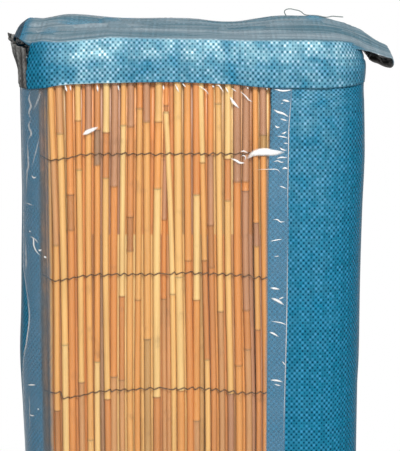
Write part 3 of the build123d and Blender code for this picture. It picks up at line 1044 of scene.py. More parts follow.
def make_band():
    """The band, drawn flat and bent round the fold, the front and the corners."""
    shape = flat_grid(200, 36)
    wear_and_light = shape.verts.layers.float.new("wear_and_painted_light")
    top_sheen_paint = shape.verts.layers.float.new("painted_top_sheen")
    corner_sheen_layer = shape.verts.layers.float.new("painted_corner_sheen")
    for vert in shape.verts:
        vert.co.x = BAND_LEFT + vert.co.x * (BAND_RIGHT - BAND_LEFT)
        vert.co.y *= BAND_DEEP * MM
    lay_weave(shape)
    for vert in shape.verts:
        along, up = vert.co.x, vert.co.y / MM
        arc, share = BAND_DEEP - up, up / BAND_DEEP
        plain, facing = wrap(along, 0)
        x = plain.x / MM
        crest = through(FOLD_LEVEL, wrap(along, CREST_OUT * MM)[0].x / MM)
        fit = (crest - through(HEM, x)) / through(SWEEP_DROP, BAND_DEEP)
        dent, sheen_share = band_dents(x, share)
        puff = 1.1 * noise.noise((x * 0.03, share * 2, 2.2))
        puff += 0.5 * noise.noise((x * 0.09, share * 4, 5.1))
        free = smooth_step(3, 14, arc)
        out = CREST_OUT + through(SWEEP_OUT, arc) + (puff - dent) * free
        out -= 1.4 * smooth_step(112, 140, abs(x))
        place = plain + facing * (out * MM + swell(along, crest * MM) * 0.5 * free)
        ragged = smooth_step(1.4, 0.2, up) * smooth_step(-112, -100, x) * smooth_step(-40, -70, x)
        # Painted sheen, most on the upper half that faces the lamps and less in the creases as painted
        # shade, and a paler ragged hem
        vert[wear_and_light] = through(BAND_PAINTED_SHEEN, x) * sheen_share * (1.1 - 0.56 * smooth_step(15, 25, arc)) + ragged
        # The painted sheen of the top runs on round the fold
        vert[top_sheen_paint] = smooth_step(4.6, 0.8, arc)
        vert[corner_sheen_layer] = corner_painted_sheen(along)
        vert.co = (place.x, place.y, (crest - through(SWEEP_DROP, arc) * fit) * MM)
    face_out(shape, Vector((0, -1, 0)))
    return shape


front_band = add_piece("front_band", make_band(), [bag_blue], "woven_bag")
give_wall(front_band, 0.9 * MM, -1)

# %% [markdown]
# At the left end the mouth isn't turned over. Its side pleat sticks out as a small ear, with the dull
# inside of the cloth showing, upright folds in it with painted light on their ridges and painted shade in
# their valleys, and a frayed upper edge.
# It is a sheet fixed to the bag along both of its upright edges, and it stands out between them.

# %% Left ear
EAR_WIDE = 112 * MM
EAR_HIGH = 40 * MM
EAR_FEET = (along_at(-134.5 * MM), -(FRONT_RUN + ARC_RUN + SIDE_RUN + 12 * MM))
EAR_LOW = 961.0
EAR_STAND = [
    (0, 1.5), (0.2, 4.0), (0.38, 8.0), (0.44, 10.4), (0.5, 10.9),
    (0.56, 10.4), (0.62, 8.0), (0.8, 4.0), (1, 1.2),
]
EAR_TOP = [(0, 995), (0.25, 997), (0.38, 999.2), (0.44, 1000.6), (0.54, 1000.6), (0.75, 996), (1, 994)]
EAR_PLEAT = 4.8


def make_left_ear():
    """A sheet that leaves the left side in a V, open at the top and closed lower down."""
    shape = flat_grid(96, 26)
    wear_and_light = shape.verts.layers.float.new("wear_and_painted_light")
    for vert in shape.verts:
        vert.co.x *= EAR_WIDE
        vert.co.y *= EAR_HIGH
    lay_weave(shape)
    for vert in shape.verts:
        share, up = vert.co.x / EAR_WIDE, vert.co.y / EAR_HIGH
        plain, facing = wrap(EAR_FEET[0] + (EAR_FEET[1] - EAR_FEET[0]) * share, 0)
        stand = through(EAR_STAND, share) * up ** 2 + 0.5
        reach = (plain.x + facing.x * stand * MM) / MM + 137
        ridge = math.cos(2 * math.pi * (reach + 1.2 * up) / EAR_PLEAT)
        pleat = 1.2 * ridge * (0.45 + 0.55 * up) + 0.8 * noise.noise((share * 22, up * 2, 5))
        pleat *= smooth_step(0, 0.12, share) * smooth_step(1, 0.88, share)
        fray = 1.2 * noise.noise((share * 60, 0, 8)) + 0.9 * noise.noise((share * 17, 0, 2))
        place = plain + facing * (stand + pleat) * MM
        # Painted light on the ridges of the pleats and painted shade in their valleys
        vert[wear_and_light] = 0.42 + 0.36 * ridge + 0.25 * noise.noise((share * 30, up * 5, 3))
        low = EAR_LOW + 14 * smooth_step(0.12, 0.45, share)
        vert.co = (place.x, place.y, (low + (through(EAR_TOP, share) + fray - low) * up) * MM)
    face_out(shape, Vector((-1, 0, 0)))
    return shape


left_ear = add_piece("left_ear", make_left_ear(), [bag_inside_and_shade], "woven_bag")
give_wall(left_ear, 0.6 * MM, 0)

# %% [markdown]
# The reeds are dried canes of many shades, from pale straw to a mauve brown. One material
# serves them all: it reads the tone that each face carries, and adds a fine grain along the
# reed and a few darker stains. The grain is noise in Object coordinates, drawn out upwards.

# %% Reed finish
TONES = {
    "pale": (0.84, 0.58, 0.23),
    "straw": (0.79, 0.48, 0.165),
    "gold": (0.74, 0.38, 0.115),
    "honey": (0.72, 0.315, 0.085),
    "orange": (0.68, 0.26, 0.068),
    "amber": (0.58, 0.23, 0.07),
    "tan": (0.55, 0.28, 0.115),
    "mauve": (0.43, 0.22, 0.125),
    "grey": (0.30, 0.185, 0.11),
    "brown": (0.41, 0.17, 0.058),
    "khaki": (0.48, 0.28, 0.10),
}
reed_finish, reed_tree, reed_shader = new_finish("dried_reed")
reed_tone = reed_tree.nodes.new("ShaderNodeVertexColor")
reed_tone.layer_name = "tone"
reed_place = reed_tree.nodes.new("ShaderNodeTexCoord")
reed_stretch = add_node(reed_tree, "ShaderNodeMapping", Vector=reed_place.outputs["Object"])
reed_stretch.inputs["Scale"].default_value = (1.0, 1.0, 0.012)
reed_noise = add_node(
    reed_tree, "ShaderNodeTexNoise", Vector=reed_stretch.outputs[0], Scale=1500.0, Detail=4.0
)
reed_stain = add_node(
    reed_tree, "ShaderNodeTexNoise", Vector=reed_place.outputs["Object"], Scale=55.0, Detail=5.0
)
reed_grain = reed_noise.outputs["Fac"]
reed_dark = mixed(reed_tree, 0.34, reed_tone.outputs["Color"], (0.20, 0.085, 0.03, 1))
reed_fibre = sums(reed_tree, "MULTIPLY_ADD", reed_grain, 2.2, -0.38)
reed_streaked = mixed(reed_tree, reed_fibre, reed_dark, reed_tone.outputs["Color"])
reed_spots = add_node(
    reed_tree, "ShaderNodeMapRange", Value=reed_stain.outputs["Fac"], From_Min=0.62, From_Max=0.8
)
reed_spotted = sums(reed_tree, "MULTIPLY", reed_spots.outputs[0], 0.5)
reed_colour = mixed(reed_tree, reed_spotted, reed_streaked, (0.17, 0.08, 0.035, 1))
reed_tree.links.new(reed_colour, reed_shader.inputs["Base Color"])
reed_rough = sums(reed_tree, "MULTIPLY_ADD", reed_grain, 0.3, 0.28)
reed_tree.links.new(reed_rough, reed_shader.inputs["Roughness"])
reed_bump = add_node(reed_tree, "ShaderNodeBump", Height=reed_grain, Strength=0.25, Distance=0.0003)
reed_tree.links.new(reed_bump.outputs[0], reed_shader.inputs["Normal"])
print("reed finish in", len(TONES), "tones")

# %% [markdown]
# A reed is a slim tube that swells at its joints and leans a little. A single wrinkled sheet
# would look printed, so each reed is its own tube: a cone primitive with rings cut into it,
# where each ring gets its height, its thickness and its sideways place.

# %% Reed tubes
REED_LOW = 0.6


def add_reed(roll, stations, sides, shape_at, tone_at):
    """A tube with a ring at each station; shape_at gives a ring's x, y and radius in millimetres."""
    tube = bmesh.new()
    layer = tube.loops.layers.float_color.new("tone")
    bmesh.ops.create_cone(tube, cap_ends=True, segments=sides, radius1=1, radius2=1, depth=1)
    uprights = [e for e in tube.edges if abs(e.verts[0].co.z - e.verts[1].co.z) > 0.5]
    bmesh.ops.subdivide_edges(tube, edges=uprights, cuts=len(stations) - 2, use_grid_fill=True)
    for vert in tube.verts:
        height = stations[round((vert.co.z + 0.5) * (len(stations) - 1))]
        x, y, radius = shape_at(height)
        vert.co = ((x + vert.co.x * radius) * MM, (y + vert.co.y * radius) * MM, height * MM)
    for face in tube.faces:
        colour = (*tone_at(face.calc_center_median().z / MM), 1)
        for corner in face.loops:
            corner[layer] = colour
    mesh = bpy.data.meshes.new("reed")
    tube.to_mesh(mesh)
    tube.free()
    roll.from_mesh(mesh)
    bpy.data.meshes.remove(mesh)


def joint_swell(height, joints):
    """Extra share of a reed's thickness at its joints: a ridge above a slight neck."""
    swelling = 0
    for joint in joints:
        gap = height - joint
        swelling += 0.13 * math.exp(-((gap / 1.6) ** 2)) - 0.05 * math.exp(-(((gap + 4) / 3) ** 2))
    return swelling


print("reed tubes ready, a joint swells by", round(joint_swell(0, [0]), 3))

# %% [markdown]
# The reeds in the window are seen one by one, so they are listed: where each one stands and how it leans,
# how thick it is, and where its tone changes at a joint. A seeded row would be quicker to write, but no
# reed would stand where the real mat has it.

# %% List of the front row
LEAN_HEIGHTS = (671.0, 828.0, 958.0)
# Each reed: x at the three heights from the top down, width, 1 where it lies behind its
# neighbours, and its tones with the height that each one starts below
FRONT_REEDS = [
    (-116.6, -117.6, -119.4, 3.3, 1, (("khaki", 1000),)),
    (-115.0, -112.6, -113.8, 5.0, 0, (("gold", 1000), ("tan", 904), ("gold", 832), ("brown", 688))),
    (-108.0, -106.7, -107.0, 5.8, 0, (("tan", 1000), ("straw", 926), ("pale", 746))),
    (-99.8, -100.1, -101.1, 5.8, 0, (("orange", 1000), ("brown", 875), ("orange", 845))),
    (-92.9, -92.6, -93.0, 5.0, 0, (("straw", 1000), ("honey", 937), ("straw", 896), ("tan", 713))),
    (-88.4, -89.7, -90.9, 3.3, 1, (("orange", 1000),)),
    (-83.7, -85.8, -86.2, 5.4, 0, (("mauve", 1000), ("gold", 929), ("straw", 662))),
    (-76.9, -78.4, -80.0, 5.0, 0, (("amber", 1000), ("grey", 929), ("honey", 900), ("pale", 731))),
    (-69.6, -71.4, -70.9, 5.4, 0, (("pale", 1000), ("amber", 927), ("straw", 889), ("amber", 698))),
    (-61.8, -64.7, -66.4, 5.8, 0, (("mauve", 1000), ("orange", 882), ("tan", 718))),
    (-55.3, -57.6, -59.0, 4.6, 0, (("gold", 1000), ("pale", 933), ("amber", 788), ("tan", 715))),
    (-49.4, -51.0, -52.2, 5.4, 0, (("mauve", 1000), ("amber", 932), ("brown", 856), ("gold", 827))),
    (-42.2, -43.9, -45.8, 5.0, 0, (("orange", 1000), ("gold", 947), ("honey", 785))),
    (-36.4, -36.8, -37.3, 5.8, 0, (("mauve", 1000), ("gold", 936), ("khaki", 751))),
    (-26.2, -28.9, -29.7, 6.2, 0, (("straw", 1000), ("honey", 936), ("pale", 880), ("amber", 700))),
    (-20.9, -22.7, -22.5, 4.2, 1,
     (("orange", 1000), ("brown", 949), ("mauve", 904), ("orange", 853), ("tan", 785))),
    (-16.2, -16.0, -15.8, 4.2, 1, (("amber", 1000), ("gold", 785))),
    (-10.8, -10.6, -8.9, 6.7, 0, (("straw", 1000), ("pale", 805), ("honey", 706))),
    (-2.8, -2.7, -1.2, 5.8, 0, (("honey", 1000), ("orange", 819))),
    (3.8, 4.6, 4.7, 5.8, 0, (("orange", 1000), ("pale", 875), ("honey", 785), ("tan", 679))),
    (8.5, 10.8, 13.7, 4.6, 0, (("pale", 1000), ("gold", 902), ("amber", 819), ("straw", 733))),
    (16.0, 16.5, 19.2, 5.0, 0, (("orange", 1000), ("mauve", 908), ("brown", 849), ("amber", 813))),
    (21.9, 23.8, 26.4, 5.0, 0, (("gold", 1000), ("straw", 951), ("tan", 775))),
    (30.2, 30.6, 33.7, 5.4, 0, (("pale", 1000), ("amber", 905), ("straw", 870), ("mauve", 703))),
    (37.1, 38.6, 41.3, 6.2, 0, (("mauve", 1000), ("orange", 886), ("honey", 728))),
    (45.3, 45.2, 49.0, 5.8, 0,
     (("mauve", 1000), ("orange", 886), ("mauve", 878), ("amber", 776), ("tan", 742))),
    (52.9, 54.3, 57.0, 4.6, 0, (("honey", 1000), ("mauve", 851), ("gold", 831), ("amber", 759))),
    (59.2, 61.0, 63.4, 5.8, 0, (("mauve", 1000), ("khaki", 925), ("honey", 908))),
    (65.4, 66.4, 68.5, 3.3, 1, (("gold", 1000),)),
    (-21.6, -16.2, -14.4, 4.6, 0, (("pale", 944), ("straw", 790))),
]


def lean_line(places):
    """Line of a reed as (height, x) pairs, from its three x places."""
    return list(zip(LEAN_HEIGHTS, places[::-1]))


print(len(FRONT_REEDS), "reeds in the front row")

# %% [markdown]
# A reed's tone drifts along its length, and a dark line marks each joint. Colours painted on
# the faces carry that, so a reed needs no image. Low down, where the list ends, the joints and
# tones follow a seed, which gives the same reeds each time.

# %% Tones along a reed
TONE_NAMES = list(TONES)


def lower_tones(draw):
    """Tones and joints of the part of a reed that the hand-written list doesn't reach."""
    tones = []
    height = draw.uniform(500, 640)
    while height > 60:
        tones.append((draw.choice(TONE_NAMES), height))
        height -= draw.uniform(110, 260)
    return tones


def tone_lookup(tones):
    """Function from a height to a colour, with a little drift and a dark line at each joint."""
    drift = random.Random(len(tones) + round(tones[0][1] + tones[-1][1]))
    phase = drift.uniform(0, 50)

    def tone_at(height):
        name = tones[0][0]
        light = 1 + 0.12 * noise.noise((height * 0.02, phase, 0))
        for candidate, starts in tones:
            if height <= starts:
                name = candidate
            if starts < 999 and -1.3 < height - starts < 0:
                light *= 0.62
            if starts < 999 and 0 < height - starts < 1.3:
                light *= 0.86
        blend = 0.5 + 0.5 * noise.noise((height * 0.011, phase, 5))
        return [min((a + (b - a) * 0.3 * blend) * light, 1) for a, b in zip(TONES[name], TONES["honey"])]

    return tone_at


print(len(TONE_NAMES), "tones to draw from")

# %% [markdown]
# Now the tubes of the front row can be made. The rings are close together in the upper part
# and at each joint, and wide apart low down, which keeps the mesh small. A second row of
# plainer reeds stands behind the gaps, so that no gap shows the hollow of the roll.

# %% Front and second row
FRONT_Y = -72.7
SECOND_Y = FRONT_Y + 5.4


def make_front_row():
    """The reeds that show in the window, with their joints and leans."""
    draw = random.Random(41)
    shape = bmesh.new()
    for top_x, middle_x, low_x, width, behind, tones in FRONT_REEDS:
        tones = list(tones) + lower_tones(draw)
        joints = [starts for name, starts in tones[1:]]
        lean = lean_line((top_x, middle_x, low_x))
        foot = (0.0, low_x + draw.uniform(-3, 3))
        bow = draw.uniform(-0.5, 0.5)
        depth = FRONT_Y + (3.4 if behind else draw.uniform(-0.1, 0.7))
        top = min(draw.uniform(984, 998), through(SHOULDER, low_x) - 3, tones[0][1])
        stations = {REED_LOW, top}
        stations.update(REED_LOW + 24 * step for step in range(1, 27))
        stations.update(650 + 7.5 * step for step in range(44))
        for joint in joints:
            stations.update((joint - 6, joint - 3, joint - 1.2, joint, joint + 1.2, joint + 2.6))
        stations = sorted(z for z in stations if REED_LOW <= z <= top)

        def shape_at(height):
            x = through([foot] + lean, height) + bow * math.sin(height * 0.011)
            uneven = 0.03 * noise.noise((x, height * 0.03, 1))
            return x, depth, width / 2 * (1 + joint_swell(height, joints) + uneven)

        add_reed(shape, stations, 12, shape_at, tone_lookup(tones))
    return shape


def make_second_row():
    """Reeds just behind the gaps of the front row."""
    draw = random.Random(23)
    shape = bmesh.new()
    for before, after in zip(FRONT_REEDS, FRONT_REEDS[1:-1]):
        middle = [(a + b) / 2 + draw.uniform(-0.8, 0.8) for a, b in zip(before[:3], after[:3])]
        width = draw.uniform(4.8, 5.8)
        tones = [(draw.choice(TONE_NAMES), starts) for starts in (1000, 820, 610, 330)]
        stations = [REED_LOW, 140, 280, 420, 560, 680, 760, 840, 920, 982]

        def shape_at(height):
            return through(lean_line(middle), height), SECOND_Y, width / 2

        add_reed(shape, stations, 8, shape_at, tone_lookup(tones))
    return shape


add_piece("front_reeds", make_front_row(), [reed_finish], "reed", "reed_mat")
add_piece("second_reeds", make_second_row(), [reed_finish], "reed")

# %% [markdown]
# The mat goes on round the roll. The rest of its outer turn is hidden by the bag, but the bag
# rests on it, so its reeds are real tubes too, with fewer rings and a seed for their tones.

# %% Rest of the outer turn
REED_PITCH = 7.3 * MM
ROLL_INSET = 4.8 * MM


def make_outer_turn():
    """The rest of the outer turn, from just past the window round the sides and the back."""
    draw = random.Random(7)
    shape = bmesh.new()
    start, end = 72 * MM, 2 * HALF_GIRTH - 129 * MM
    count = int((end - start) / REED_PITCH)
    for index in range(count + 1):
        along = start + (end - start) * index / count
        along = along if along < HALF_GIRTH else along - 2 * HALF_GIRTH
        place, facing = wrap(along, -ROLL_INSET)
        width = draw.uniform(4.8, 6.0)
        top_tone = draw.choice(TONE_NAMES)
        joints = [draw.uniform(700, 900), draw.uniform(400, 650), draw.uniform(90, 350)]
        tones = [(top_tone, 1000)] + [(draw.choice(TONE_NAMES), joint) for joint in joints]
        top = through(SHOULDER, place.x / MM) - draw.uniform(3, 14)
        stations = {REED_LOW, top, *(REED_LOW + 110 * step for step in range(1, 9))}
        for joint in joints:
            stations.update((joint - 3, joint, joint + 3))
        stations = sorted(z for z in stations if REED_LOW <= z <= top)

        def shape_at(height):
            radius = width / 2 * (1 + joint_swell(height, joints))
            return place.x / MM, place.y / MM, radius

        add_reed(shape, stations, 8, shape_at, tone_lookup(tones))
    return shape


add_piece("outer_reeds", make_outer_turn(), [reed_finish], "reed")

# %% [markdown]
# Inside, the mat winds on in seven more turns. They show only as dark depth between the
# reeds, so a six-sided tube with four rings is enough for each reed there.

# %% Inner turns
TURN_STEP = 8 * MM
TURNS = 7
INNER_PITCH = 7.4 * MM


def make_inner_turns():
    """The turns inside, as plain reeds along the wound line."""
    draw = random.Random(19)
    shape = bmesh.new()
    for turn in range(1, TURNS + 1):
        inset = -ROLL_INSET - TURN_STEP * turn
        count = int((2 * HALF_GIRTH + 2 * math.pi * inset) / INNER_PITCH)
        for index in range(count):
            along = (index / count * 2 - 1) * HALF_GIRTH
            if abs(inset) < CORNER:
                place, facing = wrap(along, inset)
            else:
                plain, facing = wrap(along, -CORNER)
                share = (HALF_Y + inset) / (HALF_Y - CORNER)
                inward = math.copysign(min(abs(plain.x), CORNER + inset), -plain.x)
                place = Vector((plain.x + inward, plain.y * share))
            width = draw.uniform(4.9, 6.2)
            tones = [(draw.choice(TONE_NAMES), 1000)]
            top = draw.uniform(970, 990)
            stations = [REED_LOW, 330.0, 660.0, top]

            def shape_at(height):
                return place.x / MM, place.y / MM, width / 2

            add_reed(shape, stations, 6, shape_at, tone_lookup(tones))
    return shape


add_piece("inner_reeds", make_inner_turns(), [reed_finish], "reed")

# %% [markdown]
# Rows of thin wire bind the reeds. A wire climbs over each reed and is twisted with its
# partner in the gap behind, so from the front it shows as a chain of short slanted dashes.
# A curve led by three points on each reed and one in each gap gives that at little cost.

# %% Wire finish
wire_finish, wire_tree, wire_shader = new_finish("dark_wire")
wire_coords = wire_tree.nodes.new("ShaderNodeTexCoord")
wire_rust = add_node(
    wire_tree, "ShaderNodeTexNoise", Vector=wire_coords.outputs["Object"], Scale=260.0, Detail=3.0
)
wire_tree.links.new(
    mixed(wire_tree, wire_rust.outputs["Fac"], (0.05, 0.028, 0.015, 1), (0.22, 0.12, 0.055, 1)),
    wire_shader.inputs["Base Color"],
)
wire_shader.inputs["Roughness"].default_value = 0.55
wire_shader.inputs["Metallic"].default_value = 0.3
print("wire finish", wire_finish.name)

# %% [markdown]
# The rows lie about 102 mm apart, but none is quite level: each sags and rises where the mat
# was pulled in the roll. Three lists of such dips serve the nine rows in turn.

# %% Route of a wire
WIRE_TOP = 908.5
WIRE_PITCH = 102.0
WIRE_ROWS = 9
WIRE_DIPS = [
    [(-125, -3), (-112, -4.2), (-85, 0), (70, 0.5)],
    [(-125, -3.2), (-114, -5), (-90, -0.6), (-40, 0.5), (0, 1.8), (35, 0), (70, -3.4)],
    [(-125, 2.5), (-115, 1), (-108, -5), (-95, -3.2), (-80, 0.4), (0, 3.2), (40, -0.5), (70, -0.6)],
]
BACK_POINTS = 84


def wire_points(row):
    """Points of one wire: round the back plainly, then over each reed of the front row."""
    level = WIRE_TOP - WIRE_PITCH * row
    dips = WIRE_DIPS[row % len(WIRE_DIPS)]
    draw = random.Random(100 + row)
    points = []
    for step in range(BACK_POINTS):
        along = -(130 * MM + step * REED_PITCH)
        along = along if along > -HALF_GIRTH else along + 2 * HALF_GIRTH
        place, facing = wrap(along, (-1.3 if step % 2 == 0 else -1.9) * MM)
        points.append((place.x / MM, place.y / MM, level + draw.uniform(-0.6, 0.6)))
    points = [p for p in points if not (p[1] < -70 and p[0] < 70)]
    outer = [reed for reed in FRONT_REEDS if not reed[4]]
    front = sorted((through(lean_line(reed[:3]), level), reed[3]) for reed in outer)
    over = []
    for x, width in front:
        drop = level + through(dips, x) + draw.uniform(-0.5, 0.5)
        crest = FRONT_Y - width / 2 - 0.45
        climb = draw.uniform(0.7, 1.3)
        over += [
            (x - 0.36 * width, crest + 0.5, drop - climb),
            (x, crest - 0.15, drop),
            (x + 0.36 * width, crest + 0.5, drop + climb),
            (x + 0.6 * width, crest + 2.8, drop + 0.2),
        ]
    return over[::-1] + points


print("first wire has", len(wire_points(0)), "points")

# %% [markdown]
# Each row becomes a curve of its own with a round bevel, like the sewing thread, and takes the
# place of the plain ring that stands for it in the CAD model.

# %% Binding wires
WIRE_DIAMETER = 1.0 * MM
for row in range(WIRE_ROWS):
    name = f"tie_wire_{row + 1}"
    curve = thread_curve("binding_" + name, wire_points(row), WIRE_DIAMETER)
    curve.resolution_u = 3
    curve.materials.append(wire_finish)
    wire = bpy.data.objects.new("binding_" + name, curve)
    scene.collection.objects.link(wire)
    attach(wire, "root")
    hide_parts(name)
print(WIRE_ROWS, "binding wires")

# %% [markdown]
# The window is a clear film, welded to the cloth along a milky margin and pulled tight between
# its edges. It is drawn flat and bent round the front like the cloth, a little off the reeds.
# Its edges were cut by hand and wander, so each is a line through a few places.

# %% Edges and slack of the film
# Each pair: height and x of the edge there
FILM_LEFT = [
    (50, -143.2), (600, -143.0), (655, -142.5), (708, -142.0), (727, -140.5), (741, -138.0),
    (760, -135.8), (772, -135.6), (790, -138.5), (812, -141.5), (1000, -142.0),
]
FILM_RIGHT = [(50, 81.5), (660, 79.5), (734, 80.3), (828, 81.0), (925, 80.8), (960, 82.5), (1000, 82.6)]
FILM_LOW = 53.0
FILM_HIGH = 979.0


def film_rise(x, height):
    """How far the film stands off the cloth, in millimetres: flat at its margins, slack between."""
    right = smooth_step(62, 64.5, x - through(WINDOW_TAPER, height))
    margin = max(smooth_step(-122.5, -125.5, x), right)
    slack = noise.noise((x * 0.05, height * 0.035, 6)) * 0.5
    slack += noise.noise((x * 0.02, height * 0.09, 2)) * 0.35
    return 0.55 + max(slack * (1 - margin * 0.6), -0.2), margin


def left_veil_and_shade(x, height):
    """How dull the film is where it lies doubled along its left margin, and how much painted shade it
    gets there: a veil over the margin, stronger near the top, and a narrow strip that paints the shadow
    in the gap at the window's left edge.
    """
    wide = smooth_step(-135, -132, x) * smooth_step(-117, -121, x)
    narrow = smooth_step(-127.5, -125, x) * smooth_step(-117, -120, x)
    return max(wide * (0.08 + 0.4 * smooth_step(915, 955, height)), 0.75 * narrow)


print("film from", FILM_LOW, "to", FILM_HIGH, "mm")

# %% [markdown]
# The film's grid has finer rows in its upper part, which is the part that is seen from near.
# Each vertex carries how milky the film is there, at its welded margins, and how dull it is where it lies
# doubled, which along the left margin also paints shade, so the finish can follow the piece.

# %% Sheet of film
FILM_ROWS = 200
COARSE_ROWS = 50
COARSE_STEP = 11.8
FINE_START = FILM_LOW + COARSE_ROWS * COARSE_STEP
FINE_STEP = (FILM_HIGH - FINE_START) / (FILM_ROWS - COARSE_ROWS)


def film_level(line):
    """Height of one row of the film, in millimetres."""
    if line < COARSE_ROWS:
        return FILM_LOW + line * COARSE_STEP
    return FINE_START + (line - COARSE_ROWS) * FINE_STEP


def make_film():
    """The film, drawn flat with finer rows in its upper part, then bent."""
    shape = flat_grid(96, FILM_ROWS)
    layer = shape.loops.layers.uv.new("weave")
    haze = shape.verts.layers.float.new("haze")
    veil_and_shade = shape.verts.layers.float.new("veil_and_shade")
    flat = {}
    for vert in shape.verts:
        height = film_level(vert.co.y * FILM_ROWS)
        left = along_at(through(FILM_LEFT, height) * MM) / MM
        right = through(FILM_RIGHT, height)
        flat[vert] = (left + (right - left) * vert.co.x, height)
    for face in shape.faces:
        for corner in face.loops:
            corner[layer].uv = [value * MM for value in flat[corner.vert]]
    for vert, (along, height) in flat.items():
        plain, facing = wrap(along * MM, 0)
        out, margin = film_rise(plain.x / MM, height)
        place = plain + facing * (out * MM + swell(along * MM, height * MM))
        vert[haze] = max(margin, smooth_step(66, 60, height))
        vert[veil_and_shade] = left_veil_and_shade(plain.x / MM, height)
        vert.co = (place.x, place.y, height * MM)
    face_out(shape, Vector((0, -1, 0)))
    return shape


film_shape = make_film()
print("film of", len(film_shape.faces), "faces")

# %% [markdown]
# A film shows by what it mirrors, and it mirrors more the more it turns away, on either of its
# sides alike. Layer Weight gives that turn, and a pane of plain clear shader takes the rest.
# Over the pane lies the milk of the margins, a matt surface that shows as far as it is milky; along the
# left margin it turns brown and paints the shade of the gap at the window's edge.

# %% Film finish
film_finish, film_tree, film_shader = new_finish("clear_film")
film_uv = film_tree.nodes.new("ShaderNodeUVMap")
film_uv.uv_map = "weave"
film_cloud = stretched_noise(film_tree, film_uv, (1, 1, 1), 60.0)
film_gloss = add_node(film_tree, "ShaderNodeBsdfGlossy", Roughness=0.07)
film_clear = film_tree.nodes.new("ShaderNodeBsdfTransparent")
film_turn = add_node(film_tree, "ShaderNodeLayerWeight", Blend=0.5)
film_steep = sums(film_tree, "POWER", film_turn.outputs["Facing"], 5.0)
film_pane = film_tree.nodes.new("ShaderNodeMixShader")
film_tree.links.new(sums(film_tree, "MULTIPLY_ADD", film_steep, 0.6, 0.0125), film_pane.inputs[0])
film_tree.links.new(film_clear.outputs[0], film_pane.inputs[1])
film_tree.links.new(film_gloss.outputs[0], film_pane.inputs[2])
film_milk = film_tree.nodes.new("ShaderNodeMixShader")
film_cloudy = sums(film_tree, "MULTIPLY_ADD", film_cloud, 0.3, 0.1)
film_haze = sums(film_tree, "MULTIPLY", reading(film_tree, "haze"), film_cloudy)
film_veil_and_shade = reading(film_tree, "veil_and_shade")
film_veiled = sums(film_tree, "MULTIPLY_ADD", film_veil_and_shade, film_cloud, film_haze)
film_tree.links.new(film_veiled, film_milk.inputs[0])
film_tree.links.new(film_pane.outputs[0], film_milk.inputs[1])
film_tree.links.new(film_shader.outputs[0], film_milk.inputs[2])
# Blue milk, turning brown where it paints the shade along the window's left edge
film_colour = mixed(film_tree, film_veil_and_shade, (0.16, 0.32, 0.46, 1), (0.115, 0.1, 0.08, 1))
film_tree.links.new(film_colour, film_shader.inputs["Base Color"])
film_shader.inputs["Roughness"].default_value = 0.35
film_shader.inputs["Specular IOR Level"].default_value = 0.1
film_tree.links.new(film_milk.outputs[0], film_tree.nodes["Material Output"].inputs["Surface"])
window_film = add_piece("window_film_sheet", film_shape, [film_finish], "clear_film", "window_film")
give_wall(window_film, 0.15 * MM, 1)

# %% [markdown]
# Thin film doesn't bend softly. It breaks into sharp little creases that flash white, mostly across the
# pull of the weld; those flashes are painted highlights here. They are far finer than the film's mesh, so
# each one is a small ridge of its own that lies on the film. The list gives their lines, down each side
# in turn.

